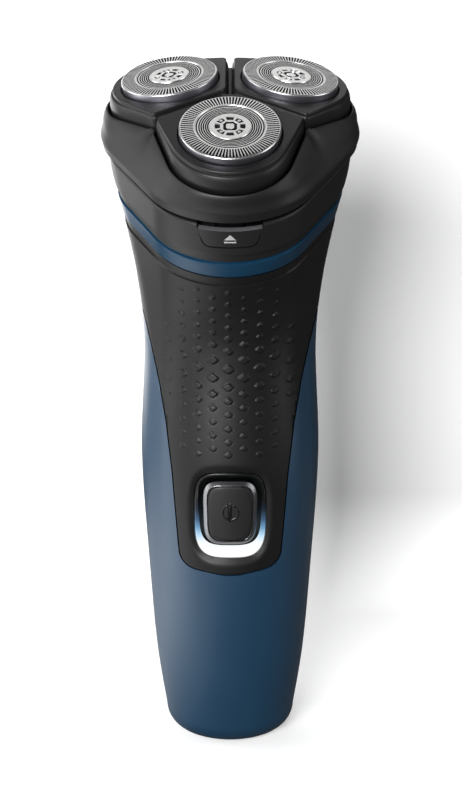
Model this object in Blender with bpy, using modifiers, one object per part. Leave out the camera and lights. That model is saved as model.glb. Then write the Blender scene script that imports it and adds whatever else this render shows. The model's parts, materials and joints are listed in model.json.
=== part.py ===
# Rotary electric shaver with three flexing shaving heads, standing on its flat foot.
# Origin at the foot's flat face on the handle's axis, +Z along the handle, front towards -Y.
# Every named size below is in millimetres; MM turns it into metres where a mesh is made.

import math

import bmesh
import bpy
from mathutils import Matrix, Vector

MM = 0.001
GAP = 0.3                      # clearance between pieces that touch
BITE = 0.4                     # how far shapes that are joined reach into each other
PAST = 5.0                     # how far a cutter reaches past what it cuts
LOFT_PAST = 1.0                # the same for a cutter that follows the neck's slope
FAR = 240.0                    # farther than any point of the shaver
MERGE = 0.01                   # points nearer than this are one point
AROUND = 36                    # points around the outer shells
INSIDE = 20                    # points around hollows that nobody sees

# Head plane: the three shaving heads sit on a triangle, tilted forward.
HEAD_TILT = math.radians(26)
HEAD_Y = -8.0
HEAD_Z = 160.0
POD_TILT = math.radians(8)     # each shaving head leans outwards
POD_ANGLES = {"front": -90, "right": 30, "left": 150}
CAP_RADIUS = 11.25

# Shaving head pieces, as depths below the cap's top along the pod's own axis.
POD_TOP = 1.8
POD_DEPTH = 7.2
POD_GAP = 2.2                  # width of the Y-shaped gap between the pods
POD_CORNER = (-5.4, 16.6)      # outline's corners, outwards and sideways from the cap's centre
POD_SHOULDER = (12.1, 10.9)
POD_NOSE = 15.0
POD_FIT = 0.5                  # clearance between a pod and the frame's pocket
POCKET_DEPTH = 9.6
POD_ROUND = 0.9
POD_FLEX_RADIUS = 3.0          # head centre to a pod's tilting axis
POD_FLEX_DEPTH = 6.5
CAP_DEPTH = 3.8
CAP_WALL = 0.7
CAP_ROUND = 0.35
CAP_TRACK = (4.5, 7.2)         # grooved ring in the cap's face
CAP_TRACK_DEPTH = 0.15
CAP_CROWN = 0.05
CUTTER_FIT = 0.95              # between the cutter's arms and the cap's inner wall
CUTTER_RADIUS = CAP_RADIUS - CAP_WALL - CUTTER_FIT
POD_LEDGE = 0.6                # how far the pod reaches in under the cutter's tips
POD_BORE = CUTTER_RADIUS - POD_LEDGE
CUTTER_TOP = 1.2
CUTTER_PLATE = (2.6, 3.4)
CUTTER_ROOT = 4.6              # where the cutter's arms meet
CUTTER_FLANGE = 4.8
CUTTER_HUB_RADIUS = 3.2
CUTTER_HUB_DEPTH = 7.4
CUTTER_BLADES = 9
BLADE = (2.2, 0.6)
BLADE_INSET = 1.3              # blade's centre in from the tip of the arm
SOCKET_RADIUS = 2.1
DRIVE_DEPTH = 6.9              # depth at which the spindle's axis meets the pod's
SOCKET_CEILING = 4.6

# Heights along the head's axis, from the plane of the cap centres.
FRAME_BOTTOM = -15.2
FRAME_FLOOR = (-12.8, -11.6)
FRAME_WALL = 1.8
FLOOR_HOLE = 7.0
FRAME_MIDDLE = 19.3            # radius of the open middle between the frame's three shoulders
RETAINER = (-14.3, -13.1)
RETAINER_INSET = 5.6
RETAINER_VENT = (13.5, 3.2)    # distance from the centre, and radius
LOCK_STEM = 1.6
LOCK_STEM_TOP = -10.8
LOCK_RADIUS = 3.0
LOCK_DISC = 0.9
LOCK_WING = (8.4, 1.8)
LOCK_WING_DEPTH = (0.5, 2.0)
DRILL = (-40.0, -5.0)          # reach of the cutters for holes along the head's axis
COLLAR_TOP = -16.0
DECK = (-18.6, -17.2)
COLLAR_BOTTOM = -25.1
COLLAR_WALL = 1.8
COLLAR_RIM = 2.4
BAND_TOP = -25.4
BAND_BOTTOM = -29.3
BODY_TOP = -29.6
GEAR_PLATE = (-26.6, -25.2)
GEAR_FACE = (-22.8, -20.2)
MOTOR_TOP = -26.9
MOTOR_LENGTH = 17.0
MOTOR_RADIUS = 9.0

# Gear train: one pinion on the motor drives a gear under each shaving head. The spindle meets the
# pod's leaning axis at the depth of the cutter's socket, which sets how far out the pod stands.
MODULE = 0.73
PINION_TEETH = 16
GEAR_TEETH = 26
SPINDLE_RADIUS = MODULE * (PINION_TEETH + GEAR_TEETH) / 2
POD_RADIUS = SPINDLE_RADIUS + DRIVE_DEPTH * math.tan(POD_TILT)
TOOTH_TOP = 0.8                # in modules, above and below the pitch circle
TOOTH_ROOT = 1.15
TOOTH_TIP_HALF = 0.12          # in tooth spacings
TOOTH_ROOT_HALF = 0.30
SPINDLE_SHAFT = 1.3
SPINDLE_TIP = -6.1
SPINDLE_POINT = (0.8, 1.6)     # radius and length of the spindle's tapered tip
SEAL_RADIUS = 3.4
SEAL_LIP = 2.2
SEAL_HEIGHT = 1.7
SHAFT_RADIUS = 1.0
SHAFT_DEPTH = 5.6
SHAFT_HOLE = 2.4
MOTOR_ROUND = 0.8
MOTOR_BEARING = (3.2, 1.4)     # radius and height of the rear bearing's boss
NECK_SCREWS = [(0, 14.0), (17.0, -10.0), (-17.0, -10.0)]
NECK_BOSS = 2.4
PILOT = 1.2                    # radius of the hole that a screw goes into
PILOT_ROOF = 1.0
SCREW_SHANK = 0.9
SCREW_HEAD = 0.9
NECK_SCREW = (2.0, 5.2)        # head radius and length
FOOT_SCREW = (1.8, 11.0)

# Handle: stations from the foot up, each (front y, front z, rear y, rear z, half width, corners).
# "corners" is 0 for an oval and grows as the section becomes a rounded triangle.
WALL = 2.0
FOOT_ROUND = 6.0
FOOT_INSET = 5.0
FOOT_STEPS = 3
HANDLE = [
    (-15.2, 6.0, 14.4, 6.0, 16.3, 0.00),
    (-17.3, 22.0, 16.8, 22.0, 18.6, 0.00),
    (-19.0, 45.0, 18.6, 45.0, 20.4, 0.05),
    (-19.8, 72.0, 19.4, 74.0, 21.9, 0.10),
    (-17.4, HEAD_Z - 63.0, 20.6, HEAD_Z - 57.0, 21.0, 0.15),
    (-18.7, HEAD_Z - 51.5, 22.8, HEAD_Z - 36.0, 22.7, 0.25),
]
# Head frame's ridge: a rounded triangle.
RIDGE_CORNER = 11.2            # head centre to a corner's centre
RIDGE_RADIUS = 20.8
RIDGE_FRONT = RIDGE_CORNER + RIDGE_RADIUS
RIDGE_REAR = RIDGE_CORNER / 2 + RIDGE_RADIUS
RIDGE_SIDE = RIDGE_CORNER * math.sqrt(0.75) + RIDGE_RADIUS
# Neck: stations from the body's top edge up, each (height, how far its front, rear and sides lie
# inside the ridge's, corners).
NECK = [(height, front - RIDGE_FRONT, RIDGE_REAR - rear, RIDGE_SIDE - side, corners)
        for height, front, rear, side, corners in (
            (-29.6, 0.5, 5.9, 4.6, 0.40),
            (-25.2, -0.2, 3.8, 3.5, 0.42),
            (-20.5, 0.0, 2.2, 2.3, 0.48),
            (-16.0, 0.3, 1.8, 1.9, 0.50))]
# Head frame: rounded triangles from the lower lip up, each (height, corner's centre and radius).
FRAME = [(height, RIDGE_CORNER + centre, RIDGE_RADIUS - radius) for height, centre, radius in (
    (-15.2, 0, 0.5),
    (-13.2, 0, 0),
    (-12.7, 0.1, 0.15),
    (-11.0, 1.1, 1.7),
    (-8.3, 3.4, 5.0),
    (-3.0, 6.4, 11.2))]

# Head hinge at the back of the collar.
HINGE_V = RIDGE_REAR + 0.2
HINGE_W = -15.6
KNUCKLE_RADIUS = 1.7
HINGE_PIN_RADIUS = 0.8
HINGE_HALF = 12.0
KNUCKLE_HALF = 6.0
WEB_STEP = 0.1                 # between a knuckle's web and the top or bottom of its barrel
FRAME_WEB = 2.4
COLLAR_WEB = 4.0

PARTING_Y = 4.0                # plane between the front and rear housings
PANEL_FIT = 0.3                # clearance around the grip panel
PANEL_DEPTH = 3.2
# Grip panel's edge seen from the front: lower end, lower corners, then (half width, height) points.
PANEL_BOTTOM = 47.4
PANEL_CORNER = (11.8, 49.4)
PANEL_EDGE = [(12.4, 56.0), (13.6, 72.0), (15.0, HEAD_Z - 76.5), (16.7, HEAD_Z - 67.5),
              (18.8, HEAD_Z - 59.0), (21.2, HEAD_Z - 50.0)]
PANEL_CORNER_RADIUS = 5.0
PANEL_EDGE_RADIUS = 12.0
PANEL_END_RADIUS = 22.0
PANEL_SIDE = 30.0              # above the last point the panel wraps round to the parting plane
PANEL_TOP = HEAD_Z

BUTTON_Z = 63.4
BUTTON_WIDTH = 12.8
BUTTON_HEIGHT = 15.4
BUTTON_CORNER = 5.0
BUTTON_DEPTH = 2.2
BUTTON_SINK = 0.2
BUTTON_STEM = 1.5
BUTTON_STEM_END = -18.0
BUTTON_TRAVEL = 0.6
BUTTON_SLOT = 0.5              # gap around the power button
WINDOW_WIDTH = BUTTON_WIDTH + 4.2
WINDOW_HEIGHT = BUTTON_HEIGHT + 5.8
WINDOW_Z = BUTTON_Z - 1.0
WINDOW_CORNER = BUTTON_CORNER + 1.5
LIGHT_TOP = BUTTON_Z + 2.6
LIGHT_SINK = 0.5
SURROUND_SINK = 0.9

RELEASE_TOP = -17.0
RELEASE_BOTTOM = -21.0
RELEASE_HALF = 7.2
RELEASE_FOOT = 5.6
RELEASE_DEPTH = (RIDGE_FRONT - 2.1, RIDGE_FRONT + 4.0)
RELEASE_CORNER = (1.0, 0.4)    # lower and upper corner radius
RELEASE_TRAVEL = 1.0
RELEASE_SINK = 0.1
WINDOW_BACK = RIDGE_FRONT - 5.0
ARM_FRONT = 1.6 - RIDGE_FRONT
ARM = (0.4, 1.6)               # bottom and top of the latch's arm above the button's lower edge
WELL_FRONT = 2.4 - RIDGE_FRONT
HOOK_HALF = 3.0
HOOK_FRONT = 3.4 - RIDGE_FRONT
HOOK_BACK = 4.8 - RIDGE_FRONT
HOOK_REACH = 1.6               # how far the hook stands above the frame's lower lip
CATCH = (1.2 - RIDGE_FRONT, 3.1 - RIDGE_FRONT)
CATCH_HEIGHT = (0.1, 0.9)      # above the frame's lower lip

INLET_Y = 4.6
INLET_WIDTH = 8.2
INLET_HEIGHT = 4.5
INLET_WALL = 0.8
INLET_DEPTH = 7.5
INLET_CORNER = 1.6
INLET_SINK = 0.2
INLET_BACK = 1.2
INLET_PIN = 0.7
PIN_SPACING = 1.9
PIN_REACH = (2.6, 3.4)         # length in the socket and behind it

CHASSIS_Y = (-8.6, -7.0)
CHASSIS_HALF = 11.4
CHASSIS_Z = (12.0, HEAD_Z - 30.4)
CRADLE_WALL = 1.4
CRADLE_REACH = 3.0             # how far the cradle reaches behind the battery's axis
SHELF_HALF = 6.0
SHELF_THICKNESS = 1.2
CHASSIS_FOOT = 2.0
RIB_HALF = 1.0
LEAD_SLOT = (4.0, 1.6)         # half width and half height
BATTERY_RADIUS = 7.0
BATTERY_Y = CHASSIS_Y[1] + 1.5 + BATTERY_RADIUS
BATTERY_Z = (28.0, 78.0)
BATTERY_BUTTON = (2.6, 0.9)    # radius and height of the positive end
BATTERY_ROUND = 0.5
TAB_HALF = 2.5
TAB_THICKNESS = 0.3
FOOT_SCREW_X = 7.0
FOOT_SCREW_Y = -2.8
FOOT_SINK = 1.4
FOOT_SINK_RADIUS = 2.1
BOARD_Y = (-10.2, -9.0)
BOARD_WIDTH = 21.0
BOARD_Z = (26.0, 100.0)
BOARD_CORNER = 1.5
SWITCH_HALF = 3.1
SWITCH_KEY = 1.7
SWITCH_FACE = -14.4
SWITCH_STEP = 1.2
LED_Z = 53.8
LED_SIZE = (3.6, 1.6, 1.2)
CHIP_Z = 84.0
CHIP_SIZE = (7.0, 7.0, 1.0)
LEAD_Z = HEAD_Z - 54.0
LEAD_X = 2.2
LEAD_RADIUS = 0.6
LEAD_EXIT = (5.0, -4.0)        # on the motor's lower end, sideways and behind its axis
GASKET_WIDTH = 1.4
GASKET_THICKNESS = 1.6

# ---------------------------------------------------------------- helpers


def clear_scene():
    for item in list(bpy.data.objects):
        bpy.data.objects.remove(item, do_unlink=True)


def new_collection(name):
    collection = bpy.data.collections.new(name)
    bpy.context.scene.collection.children.link(collection)
    return collection


def new_material(name, colour, roughness, metallic=0.0):
    material = bpy.data.materials.new(name)
    material.use_nodes = True
    shader = material.node_tree.nodes["Principled BSDF"]
    shader.inputs["Base Color"].default_value = (*colour, 1.0)
    shader.inputs["Roughness"].default_value = roughness
    shader.inputs["Metallic"].default_value = metallic
    material.diffuse_color = (*colour, 1.0)
    return material


clear_scene()
PARTS = new_collection("electric_shaver")
CUTTERS = new_collection("cutters")

BLACK = new_material("black_plastic", (0.035, 0.036, 0.038), 0.42)
GRIP = new_material("grip_plastic", (0.022, 0.022, 0.024), 0.55)
BLUE = new_material("blue_plastic", (0.016, 0.055, 0.125), 0.38)
STEEL = new_material("steel", (0.62, 0.62, 0.64), 0.25, 1.0)
INNER = new_material("inner_plastic", (0.10, 0.10, 0.11), 0.5)
GEAR = new_material("gear_plastic", (0.75, 0.74, 0.70), 0.45)
LIGHT = new_material("light_guide", (0.80, 0.88, 1.0), 0.3)
GLOSS = new_material("gloss_plastic", (0.012, 0.012, 0.014), 0.12)
BOARD = new_material("board", (0.02, 0.16, 0.07), 0.5)
CELL = new_material("battery_sleeve", (0.05, 0.20, 0.42), 0.4)
COPPER = new_material("brass", (0.70, 0.50, 0.22), 0.3, 1.0)
RUBBER = new_material("rubber", (0.02, 0.02, 0.02), 0.8)

HEAD = Matrix.Translation(Vector((0, HEAD_Y, HEAD_Z)) * MM) @ Matrix.Rotation(HEAD_TILT, 4, "X")
BODY = Matrix.Identity(4)
ALONG_Y = Matrix.Rotation(math.radians(90), 4, "X")      # a piece's own +Z becomes -Y
ALONG_X = Matrix.Rotation(math.radians(90), 4, "Y")      # a piece's own +Z becomes +X


def shift(x, y, z):
    return Matrix.Translation(Vector((x, y, z)) * MM)


def turn(degrees, axis):
    return Matrix.Rotation(math.radians(degrees), 4, axis)


def head_point(v, w):
    """(y, z) of a point v behind and w above the head's centre, in the head's own plane."""
    return (HEAD_Y + v * math.cos(HEAD_TILT) - w * math.sin(HEAD_TILT),
            HEAD_Z + v * math.sin(HEAD_TILT) + w * math.cos(HEAD_TILT))


def from_bmesh(name, shape, material, matrix=BODY):
    bmesh.ops.recalc_face_normals(shape, faces=shape.faces)
    mesh = bpy.data.meshes.new(name)
    shape.to_mesh(mesh)
    shape.free()
    mesh.materials.append(material)
    piece = bpy.data.objects.new(name, mesh)
    piece.matrix_world = matrix
    PARTS.objects.link(piece)
    return piece


def smooth(piece, degrees=35):
    piece.data.shade_smooth()
    piece.data.set_sharp_from_angle(angle=math.radians(degrees))
    return piece


def as_cutter(piece):
    PARTS.objects.unlink(piece)
    CUTTERS.objects.link(piece)
    piece.hide_render = True
    piece.display_type = "WIRE"
    return piece


def boolean(piece, other, operation):
    modifier = piece.modifiers.new(operation.title(), "BOOLEAN")
    modifier.operation = operation
    modifier.solver = "EXACT"
    modifier.object = as_cutter(other) if other.name in PARTS.objects else other
    return piece


def cut(piece, *others):
    for other in others:
        boolean(piece, other, "DIFFERENCE")
    return piece


def join(piece, *others):
    for other in others:
        boolean(piece, other, "UNION")
    return piece


def keep(piece, other):
    return boolean(piece, other, "INTERSECT")


def triangle_radius(angle, corners):
    """Polar radius of three unit circles set `corners` from the centre, with their tangents."""
    third = math.radians(120)
    off = abs((angle + third / 2) % third - third / 2)
    if off <= math.atan2(math.sqrt(3) / 2, corners + 0.5):
        return corners * math.cos(off) + math.sqrt(1 - (corners * math.sin(off)) ** 2)
    return (corners / 2 + 1) / math.cos(third / 2 - off)


def section(front, rear, half_width, corners, count=AROUND):
    """Closed ring spanning from the front point to the rear point, one corner to the front."""
    ring = []
    for index in range(count):
        angle = 2 * math.pi * index / count
        radius = triangle_radius(angle, corners)
        side = half_width * radius * math.sin(angle) / (corners * math.sqrt(0.75) + 1)
        along = (corners + 1 - radius * math.cos(angle)) / (1.5 * corners + 2)
        ring.append((side, front[0] + along * (rear[0] - front[0]),
                     front[1] + along * (rear[1] - front[1])))
    return ring


def frame_ring(height, corner_centre, corner_radius, inset=0.0, count=AROUND):
    """Closed ring of the head frame, flat at one height of the head's own axis."""
    radius = corner_radius - inset
    ring = []
    for index in range(count):
        angle = 2 * math.pi * index / count
        reach = radius * triangle_radius(angle, corner_centre / radius)
        ring.append((reach * math.sin(angle), -reach * math.cos(angle), height))
    return ring


def loft(name, rings, material, matrix=BODY):
    shape = bmesh.new()
    layers = [[shape.verts.new(Vector(point) * MM) for point in ring] for ring in rings]
    for lower, upper in zip(layers, layers[1:]):
        for index in range(len(lower)):
            after = (index + 1) % len(lower)
            shape.faces.new((lower[index], lower[after], upper[after], upper[index]))
    shape.faces.new(reversed(layers[0]))
    shape.faces.new(layers[-1])
    return smooth(from_bmesh(name, shape, material, matrix))


def between(stations, position):
    """Catmull-Rom value of a list of stations at a position counted in stations."""
    index = min(int(position), len(stations) - 2)
    t = position - index
    quad = [stations[max(0, min(len(stations) - 1, index + step))] for step in (-1, 0, 1, 2)]
    return [0.5 * (2 * b + (c - a) * t + (2 * a - 5 * b + 4 * c - d) * t * t
                   + (3 * b - a - 3 * c + d) * t ** 3) for a, b, c, d in zip(*quad)]


def body_stations():
    """The handle's stations with the neck's added, all as front and rear points."""
    neck = [(*head_point(front, height), *head_point(rear, height), width, corners)
            for height, front, rear, width, corners in NECK]
    return HANDLE + neck


def spindle_matrix(angle):
    """Frame of one drive gear: origin on the head's centre plane, +Z along the gear's axis."""
    return HEAD @ turn(angle, "Z") @ shift(SPINDLE_RADIUS, 0, 0)


def hinge_matrix(along=0.0):
    """Frame on the head hinge, its +Z along the hinge's pin."""
    return HEAD @ shift(along, HINGE_V, HINGE_W) @ ALONG_X


def inset_section(station, inset, count=AROUND):
    front_y, front_z, rear_y, rear_z, half_width, corners = station
    return section((front_y + inset, front_z), (rear_y - inset, rear_z), half_width - inset, corners, count)


def foot_rings(inset, count):
    """Rounded lower edge of the handle, from the flat foot up to the first station."""
    rings = []
    for step in range(FOOT_STEPS):
        lean = math.radians(90 * (1 - step / FOOT_STEPS))
        station = list(HANDLE[0])
        station[1] = station[3] = (FOOT_ROUND - inset) * (1 - math.sin(lean)) + inset
        rings.append(inset_section(station, inset + FOOT_INSET * (1 - math.cos(lean)), count))
    return rings


def handle_rings(inset=0.0, steps=2, overshoot=0.0, count=AROUND):
    stations = body_stations()
    last = len(HANDLE)
    rings = foot_rings(inset, count)
    for step in range(last * steps + 1):
        rings.append(inset_section(between(stations, step / steps), inset, count))
    if overshoot:
        lift = Vector((0, -math.sin(HEAD_TILT), math.cos(HEAD_TILT))) * overshoot
        rings.append([Vector(point) + lift for point in rings[-1]])
    return rings


def neck_rings(low, high, inset=0.0, steps=2, count=AROUND):
    """Rings of the neck between two heights of the head's axis, in the head's own frame."""
    heights = [station[0] for station in NECK]
    rings = []
    for step in range(steps + 1):
        height = low + (high - low) * step / steps
        inside = max(heights[0], min(heights[-1], height))
        index = max(i for i, level in enumerate(heights) if level <= inside)
        index = min(index, len(heights) - 2)
        position = index + (inside - heights[index]) / (heights[index + 1] - heights[index])
        _, front, rear, width, corners = between(NECK, position)
        ring = section((front + inset, height), (rear - inset, height), width - inset, corners, count)
        rings.append(ring)
    return rings


def corner_arc(before, at, after, radius, steps):
    """Points of the arc that rounds the corner `at` between its neighbours."""
    into = (Vector(before) - Vector(at)).normalized()
    out = (Vector(after) - Vector(at)).normalized()
    half = into.angle(out) / 2
    bisector = (into + out).normalized()
    centre = Vector(at) + bisector * radius / math.sin(half)
    start = Vector(at) + into * radius / math.tan(half) - centre
    end = Vector(at) + out * radius / math.tan(half) - centre
    sweep = start.angle_signed(end)
    return [centre + Matrix.Rotation(-sweep * step / steps, 2) @ start for step in range(steps + 1)]


def rounded(corners, steps=4):
    """Outline through (x, y, radius) corners, each one rounded."""
    outline = []
    for index, (x, y, radius) in enumerate(corners):
        before = corners[index - 1][:2]
        after = corners[(index + 1) % len(corners)][:2]
        if radius:
            outline += corner_arc(before, (x, y), after, radius, steps)
        else:
            outline.append(Vector((x, y)))
    return outline


def rounded_box(width, height, radius, x=0.0, y=0.0, steps=4):
    w, h = width / 2, height / 2
    corners = [(x - w, y - h, radius), (x + w, y - h, radius), (x + w, y + h, radius), (x - w, y + h, radius)]
    return rounded(corners, steps)


def plate(name, outline, low, high, material, matrix=BODY):
    """Flat outline extruded from low to high along the piece's own Z."""
    curve = bpy.data.curves.new(name, "CURVE")
    curve.dimensions = "2D"
    curve.fill_mode = "BOTH"
    curve.extrude = (high - low) / 2 * MM
    spline = curve.splines.new("POLY")
    spline.points.add(len(outline) - 1)
    for point, place in zip(spline.points, outline):
        point.co = (place[0] * MM, place[1] * MM, 0, 1)
    spline.use_cyclic_u = True
    guide = bpy.data.objects.new(name + "_outline", curve)
    PARTS.objects.link(guide)
    graph = bpy.context.evaluated_depsgraph_get()
    mesh = bpy.data.meshes.new_from_object(guide.evaluated_get(graph))
    bpy.data.objects.remove(guide, do_unlink=True)
    shape = bmesh.new()
    shape.from_mesh(mesh)
    bmesh.ops.remove_doubles(shape, verts=shape.verts, dist=MERGE * MM)
    bmesh.ops.translate(shape, verts=shape.verts, vec=(0, 0, (low + high) / 2 * MM))
    return from_bmesh(name, shape, material, matrix)


def cylinder(name, radius, low, high, material, matrix=BODY, sides=20, top_radius=None):
    shape = bmesh.new()
    bmesh.ops.create_cone(shape, cap_ends=True, segments=sides, radius1=radius * MM,
                          radius2=(radius if top_radius is None else top_radius) * MM,
                          depth=(high - low) * MM)
    bmesh.ops.translate(shape, verts=shape.verts, vec=(0, 0, (low + high) / 2 * MM))
    return smooth(from_bmesh(name, shape, material, matrix))


def drill(piece, name, radius, low, high, matrix=BODY, sides=16):
    """Round hole between two heights of the given frame."""
    return cut(piece, cylinder(name, radius, low, high, piece.data.materials[0], matrix, sides))


def box(name, low, high, material, matrix=BODY):
    shape = bmesh.new()
    bmesh.ops.create_cube(shape, size=1.0)
    size = Vector(high) - Vector(low)
    middle = (Vector(high) + Vector(low)) / 2
    bmesh.ops.scale(shape, verts=shape.verts, vec=size * MM)
    bmesh.ops.translate(shape, verts=shape.verts, vec=middle * MM)
    return from_bmesh(name, shape, material, matrix)


def turned(name, profile, material, matrix=BODY, sides=32):
    """Profile of (radius, height) points, down its outer side, turned about the piece's Z."""
    mesh = bpy.data.meshes.new(name)
    points = [(radius * MM, 0, height * MM) for radius, height in profile]
    closed = profile[0][0] > 0 and profile[-1][0] > 0
    edges = [(index, index + 1) for index in range(len(points) - 1)]
    if closed:
        edges.append((len(points) - 1, 0))
    mesh.from_pydata(points, edges, [])
    mesh.materials.append(material)
    piece = bpy.data.objects.new(name, mesh)
    piece.matrix_world = matrix
    PARTS.objects.link(piece)
    screw = piece.modifiers.new("Turn", "SCREW")
    screw.steps = screw.render_steps = sides
    screw.use_merge_vertices = True
    screw.merge_threshold = MERGE * MM
    screw.use_smooth_shade = True
    return piece


def round_edges(piece, width, segments=1, degrees=40):
    bevel = piece.modifiers.new("Round edges", "BEVEL")
    bevel.width = width * MM
    bevel.segments = segments
    bevel.limit_method = "ANGLE"
    bevel.angle_limit = math.radians(degrees)
    return piece


def wire(name, route, radius, material, sides=2):
    """Tube of a small radius along a smooth curve through the route's points."""
    curve = bpy.data.curves.new(name, "CURVE")
    curve.dimensions = "3D"
    curve.bevel_depth = radius * MM
    curve.bevel_resolution = sides
    curve.use_fill_caps = True
    spline = curve.splines.new("POLY")
    steps = 2
    count = (len(route) - 1) * steps + 1
    spline.points.add(count - 1)
    for index in range(count):
        place = between(route, index / steps)
        spline.points[index].co = (place[0] * MM, place[1] * MM, place[2] * MM, 1)
    curve.materials.append(material)
    piece = bpy.data.objects.new(name, curve)
    PARTS.objects.link(piece)
    return piece


def carrier(name, matrix):
    """Empty on a joint's axis, for the pieces that move with it."""
    empty = bpy.data.objects.new(name, None)
    empty.matrix_world = matrix
    empty.empty_display_size = 5 * MM
    PARTS.objects.link(empty)
    return empty


def carry(empty, *pieces):
    for piece in pieces:
        piece.parent = empty
        piece.matrix_parent_inverse = empty.matrix_world.inverted()


def pod_matrix(angle):
    """Frame of one shaving head: origin at the cap's centre, +X outwards, +Z along its axis."""
    return HEAD @ turn(angle, "Z") @ shift(POD_RADIUS, 0, 0) @ Matrix.Rotation(POD_TILT, 4, "Y")


def toothed(teeth, phase=0.0):
    """Outline of a spur gear with straight-sided teeth, one of them centred on the phase angle."""
    pitch = MODULE * teeth / 2
    levels = [(-TOOTH_ROOT_HALF, -TOOTH_ROOT), (-TOOTH_TIP_HALF, TOOTH_TOP),
              (TOOTH_TIP_HALF, TOOTH_TOP), (TOOTH_ROOT_HALF, -TOOTH_ROOT)]
    step = 2 * math.pi / teeth
    outline = []
    for tooth in range(teeth):
        for across, height in levels:
            angle = phase + (tooth + across) * step
            radius = pitch + height * MODULE
            outline.append((radius * math.cos(angle), radius * math.sin(angle)))
    return outline

# ---------------------------------------------------------------- shaving unit


def pod_outline(extra=0.0):
    """Pod seen along its axis, from the cap's centre, grown on every side by `extra`."""
    inner = POD_GAP / 2 / math.sin(math.radians(60)) - POD_RADIUS
    corners = [(inner, 0, 4.0), (*POD_CORNER, 1.5), (*POD_SHOULDER, 6.0), (POD_NOSE, 0, 26.0)]
    corners += [(x, -y, radius) for x, y, radius in (corners[2], corners[1])]
    outline = []
    for index, (x, y, radius) in enumerate(corners):
        at = Vector((x, y))
        into = (Vector(corners[index - 1][:2]) - at).normalized()
        out = (Vector(corners[(index + 1) % 6][:2]) - at).normalized()
        grown = at - (into + out).normalized() * extra / math.sin(into.angle(out) / 2)
        outline.append((grown.x, grown.y, radius + extra))
    return rounded(outline)


def make_head_frame():
    frame = loft("head_frame", [frame_ring(*level) for level in FRAME], BLACK, HEAD)
    chamber = [frame_ring(height, FRAME[0][1], FRAME[0][2], FRAME_WALL, INSIDE + 4)
               for height in (FRAME_BOTTOM - PAST, FRAME_FLOOR[0])]
    cut(frame, loft("chamber", chamber, BLACK, HEAD))
    drill(frame, "frame_middle", FRAME_MIDDLE, FRAME_FLOOR[1], PAST, HEAD, 24)
    for name, angle in POD_ANGLES.items():
        cut(frame, plate("pocket_" + name, pod_outline(POD_FIT), -POCKET_DEPTH, PAST, BLACK, pod_matrix(angle)))
    for name, angle in POD_ANGLES.items():
        drill(frame, "floor_hole_" + name, FLOOR_HOLE, *DRILL, spindle_matrix(angle), 20)
    drill(frame, "lock_hole", LOCK_STEM + GAP, *DRILL, HEAD)
    catch = box("catch", (-HOOK_HALF, CATCH[0], FRAME_BOTTOM + CATCH_HEIGHT[0]),
                (HOOK_HALF, CATCH[1], FRAME_BOTTOM + CATCH_HEIGHT[1]), BLACK, HEAD)
    knuckle_clear(frame, KNUCKLE_HALF - GAP, HINGE_HALF + GAP)
    half = KNUCKLE_HALF - GAP / 2
    barrel = cylinder("frame_barrel", KNUCKLE_RADIUS, -half, half, BLACK, hinge_matrix(), 16)
    web = box("frame_web", (-half, HINGE_V - FRAME_WEB, HINGE_W + BITE),
              (half, HINGE_V, HINGE_W + KNUCKLE_RADIUS - WEB_STEP), BLACK, HEAD)
    join(frame, catch, web, barrel)
    return drill(frame, "frame_bore", HINGE_PIN_RADIUS + GAP, -HINGE_HALF, HINGE_HALF, hinge_matrix())


def knuckle_clear(piece, start, end):
    """Room around the hinge barrel on both sides of the middle, between two distances along it."""
    half = (end - start) / 2
    for side in (-1, 1):
        place = hinge_matrix(side * (start + end) / 2)
        drill(piece, f"{piece.name}_clear_{side}", KNUCKLE_RADIUS + GAP, -half, half, place)


def make_pod(name, angle):
    place = pod_matrix(angle)
    pod = plate("pod_" + name, pod_outline(), -POD_DEPTH, -POD_TOP, BLACK, place)
    round_edges(pod, POD_ROUND)
    drill(pod, "cap_seat_" + name, CAP_RADIUS + GAP, -CAP_DEPTH - GAP, PAST, place, 28)
    return drill(pod, "pod_bore_" + name, POD_BORE, -POD_DEPTH - PAST, PAST, place, 20)


def make_cap(name, angle):
    inner = CAP_RADIUS - CAP_WALL
    near, far = CAP_TRACK
    ramp = (CAP_CROWN + CAP_TRACK_DEPTH) / 2
    profile = [(0, CAP_CROWN), (near - ramp, CAP_CROWN), (near + ramp, -CAP_TRACK_DEPTH),
               (far - ramp, -CAP_TRACK_DEPTH), (far + ramp, 0), (CAP_RADIUS - CAP_ROUND, 0),
               (CAP_RADIUS, -CAP_ROUND), (CAP_RADIUS, -CAP_DEPTH), (inner, -CAP_DEPTH),
               (inner, -CAP_WALL), (0, -CAP_WALL)]
    return turned("cap_" + name, profile, STEEL, pod_matrix(angle), 28)


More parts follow.
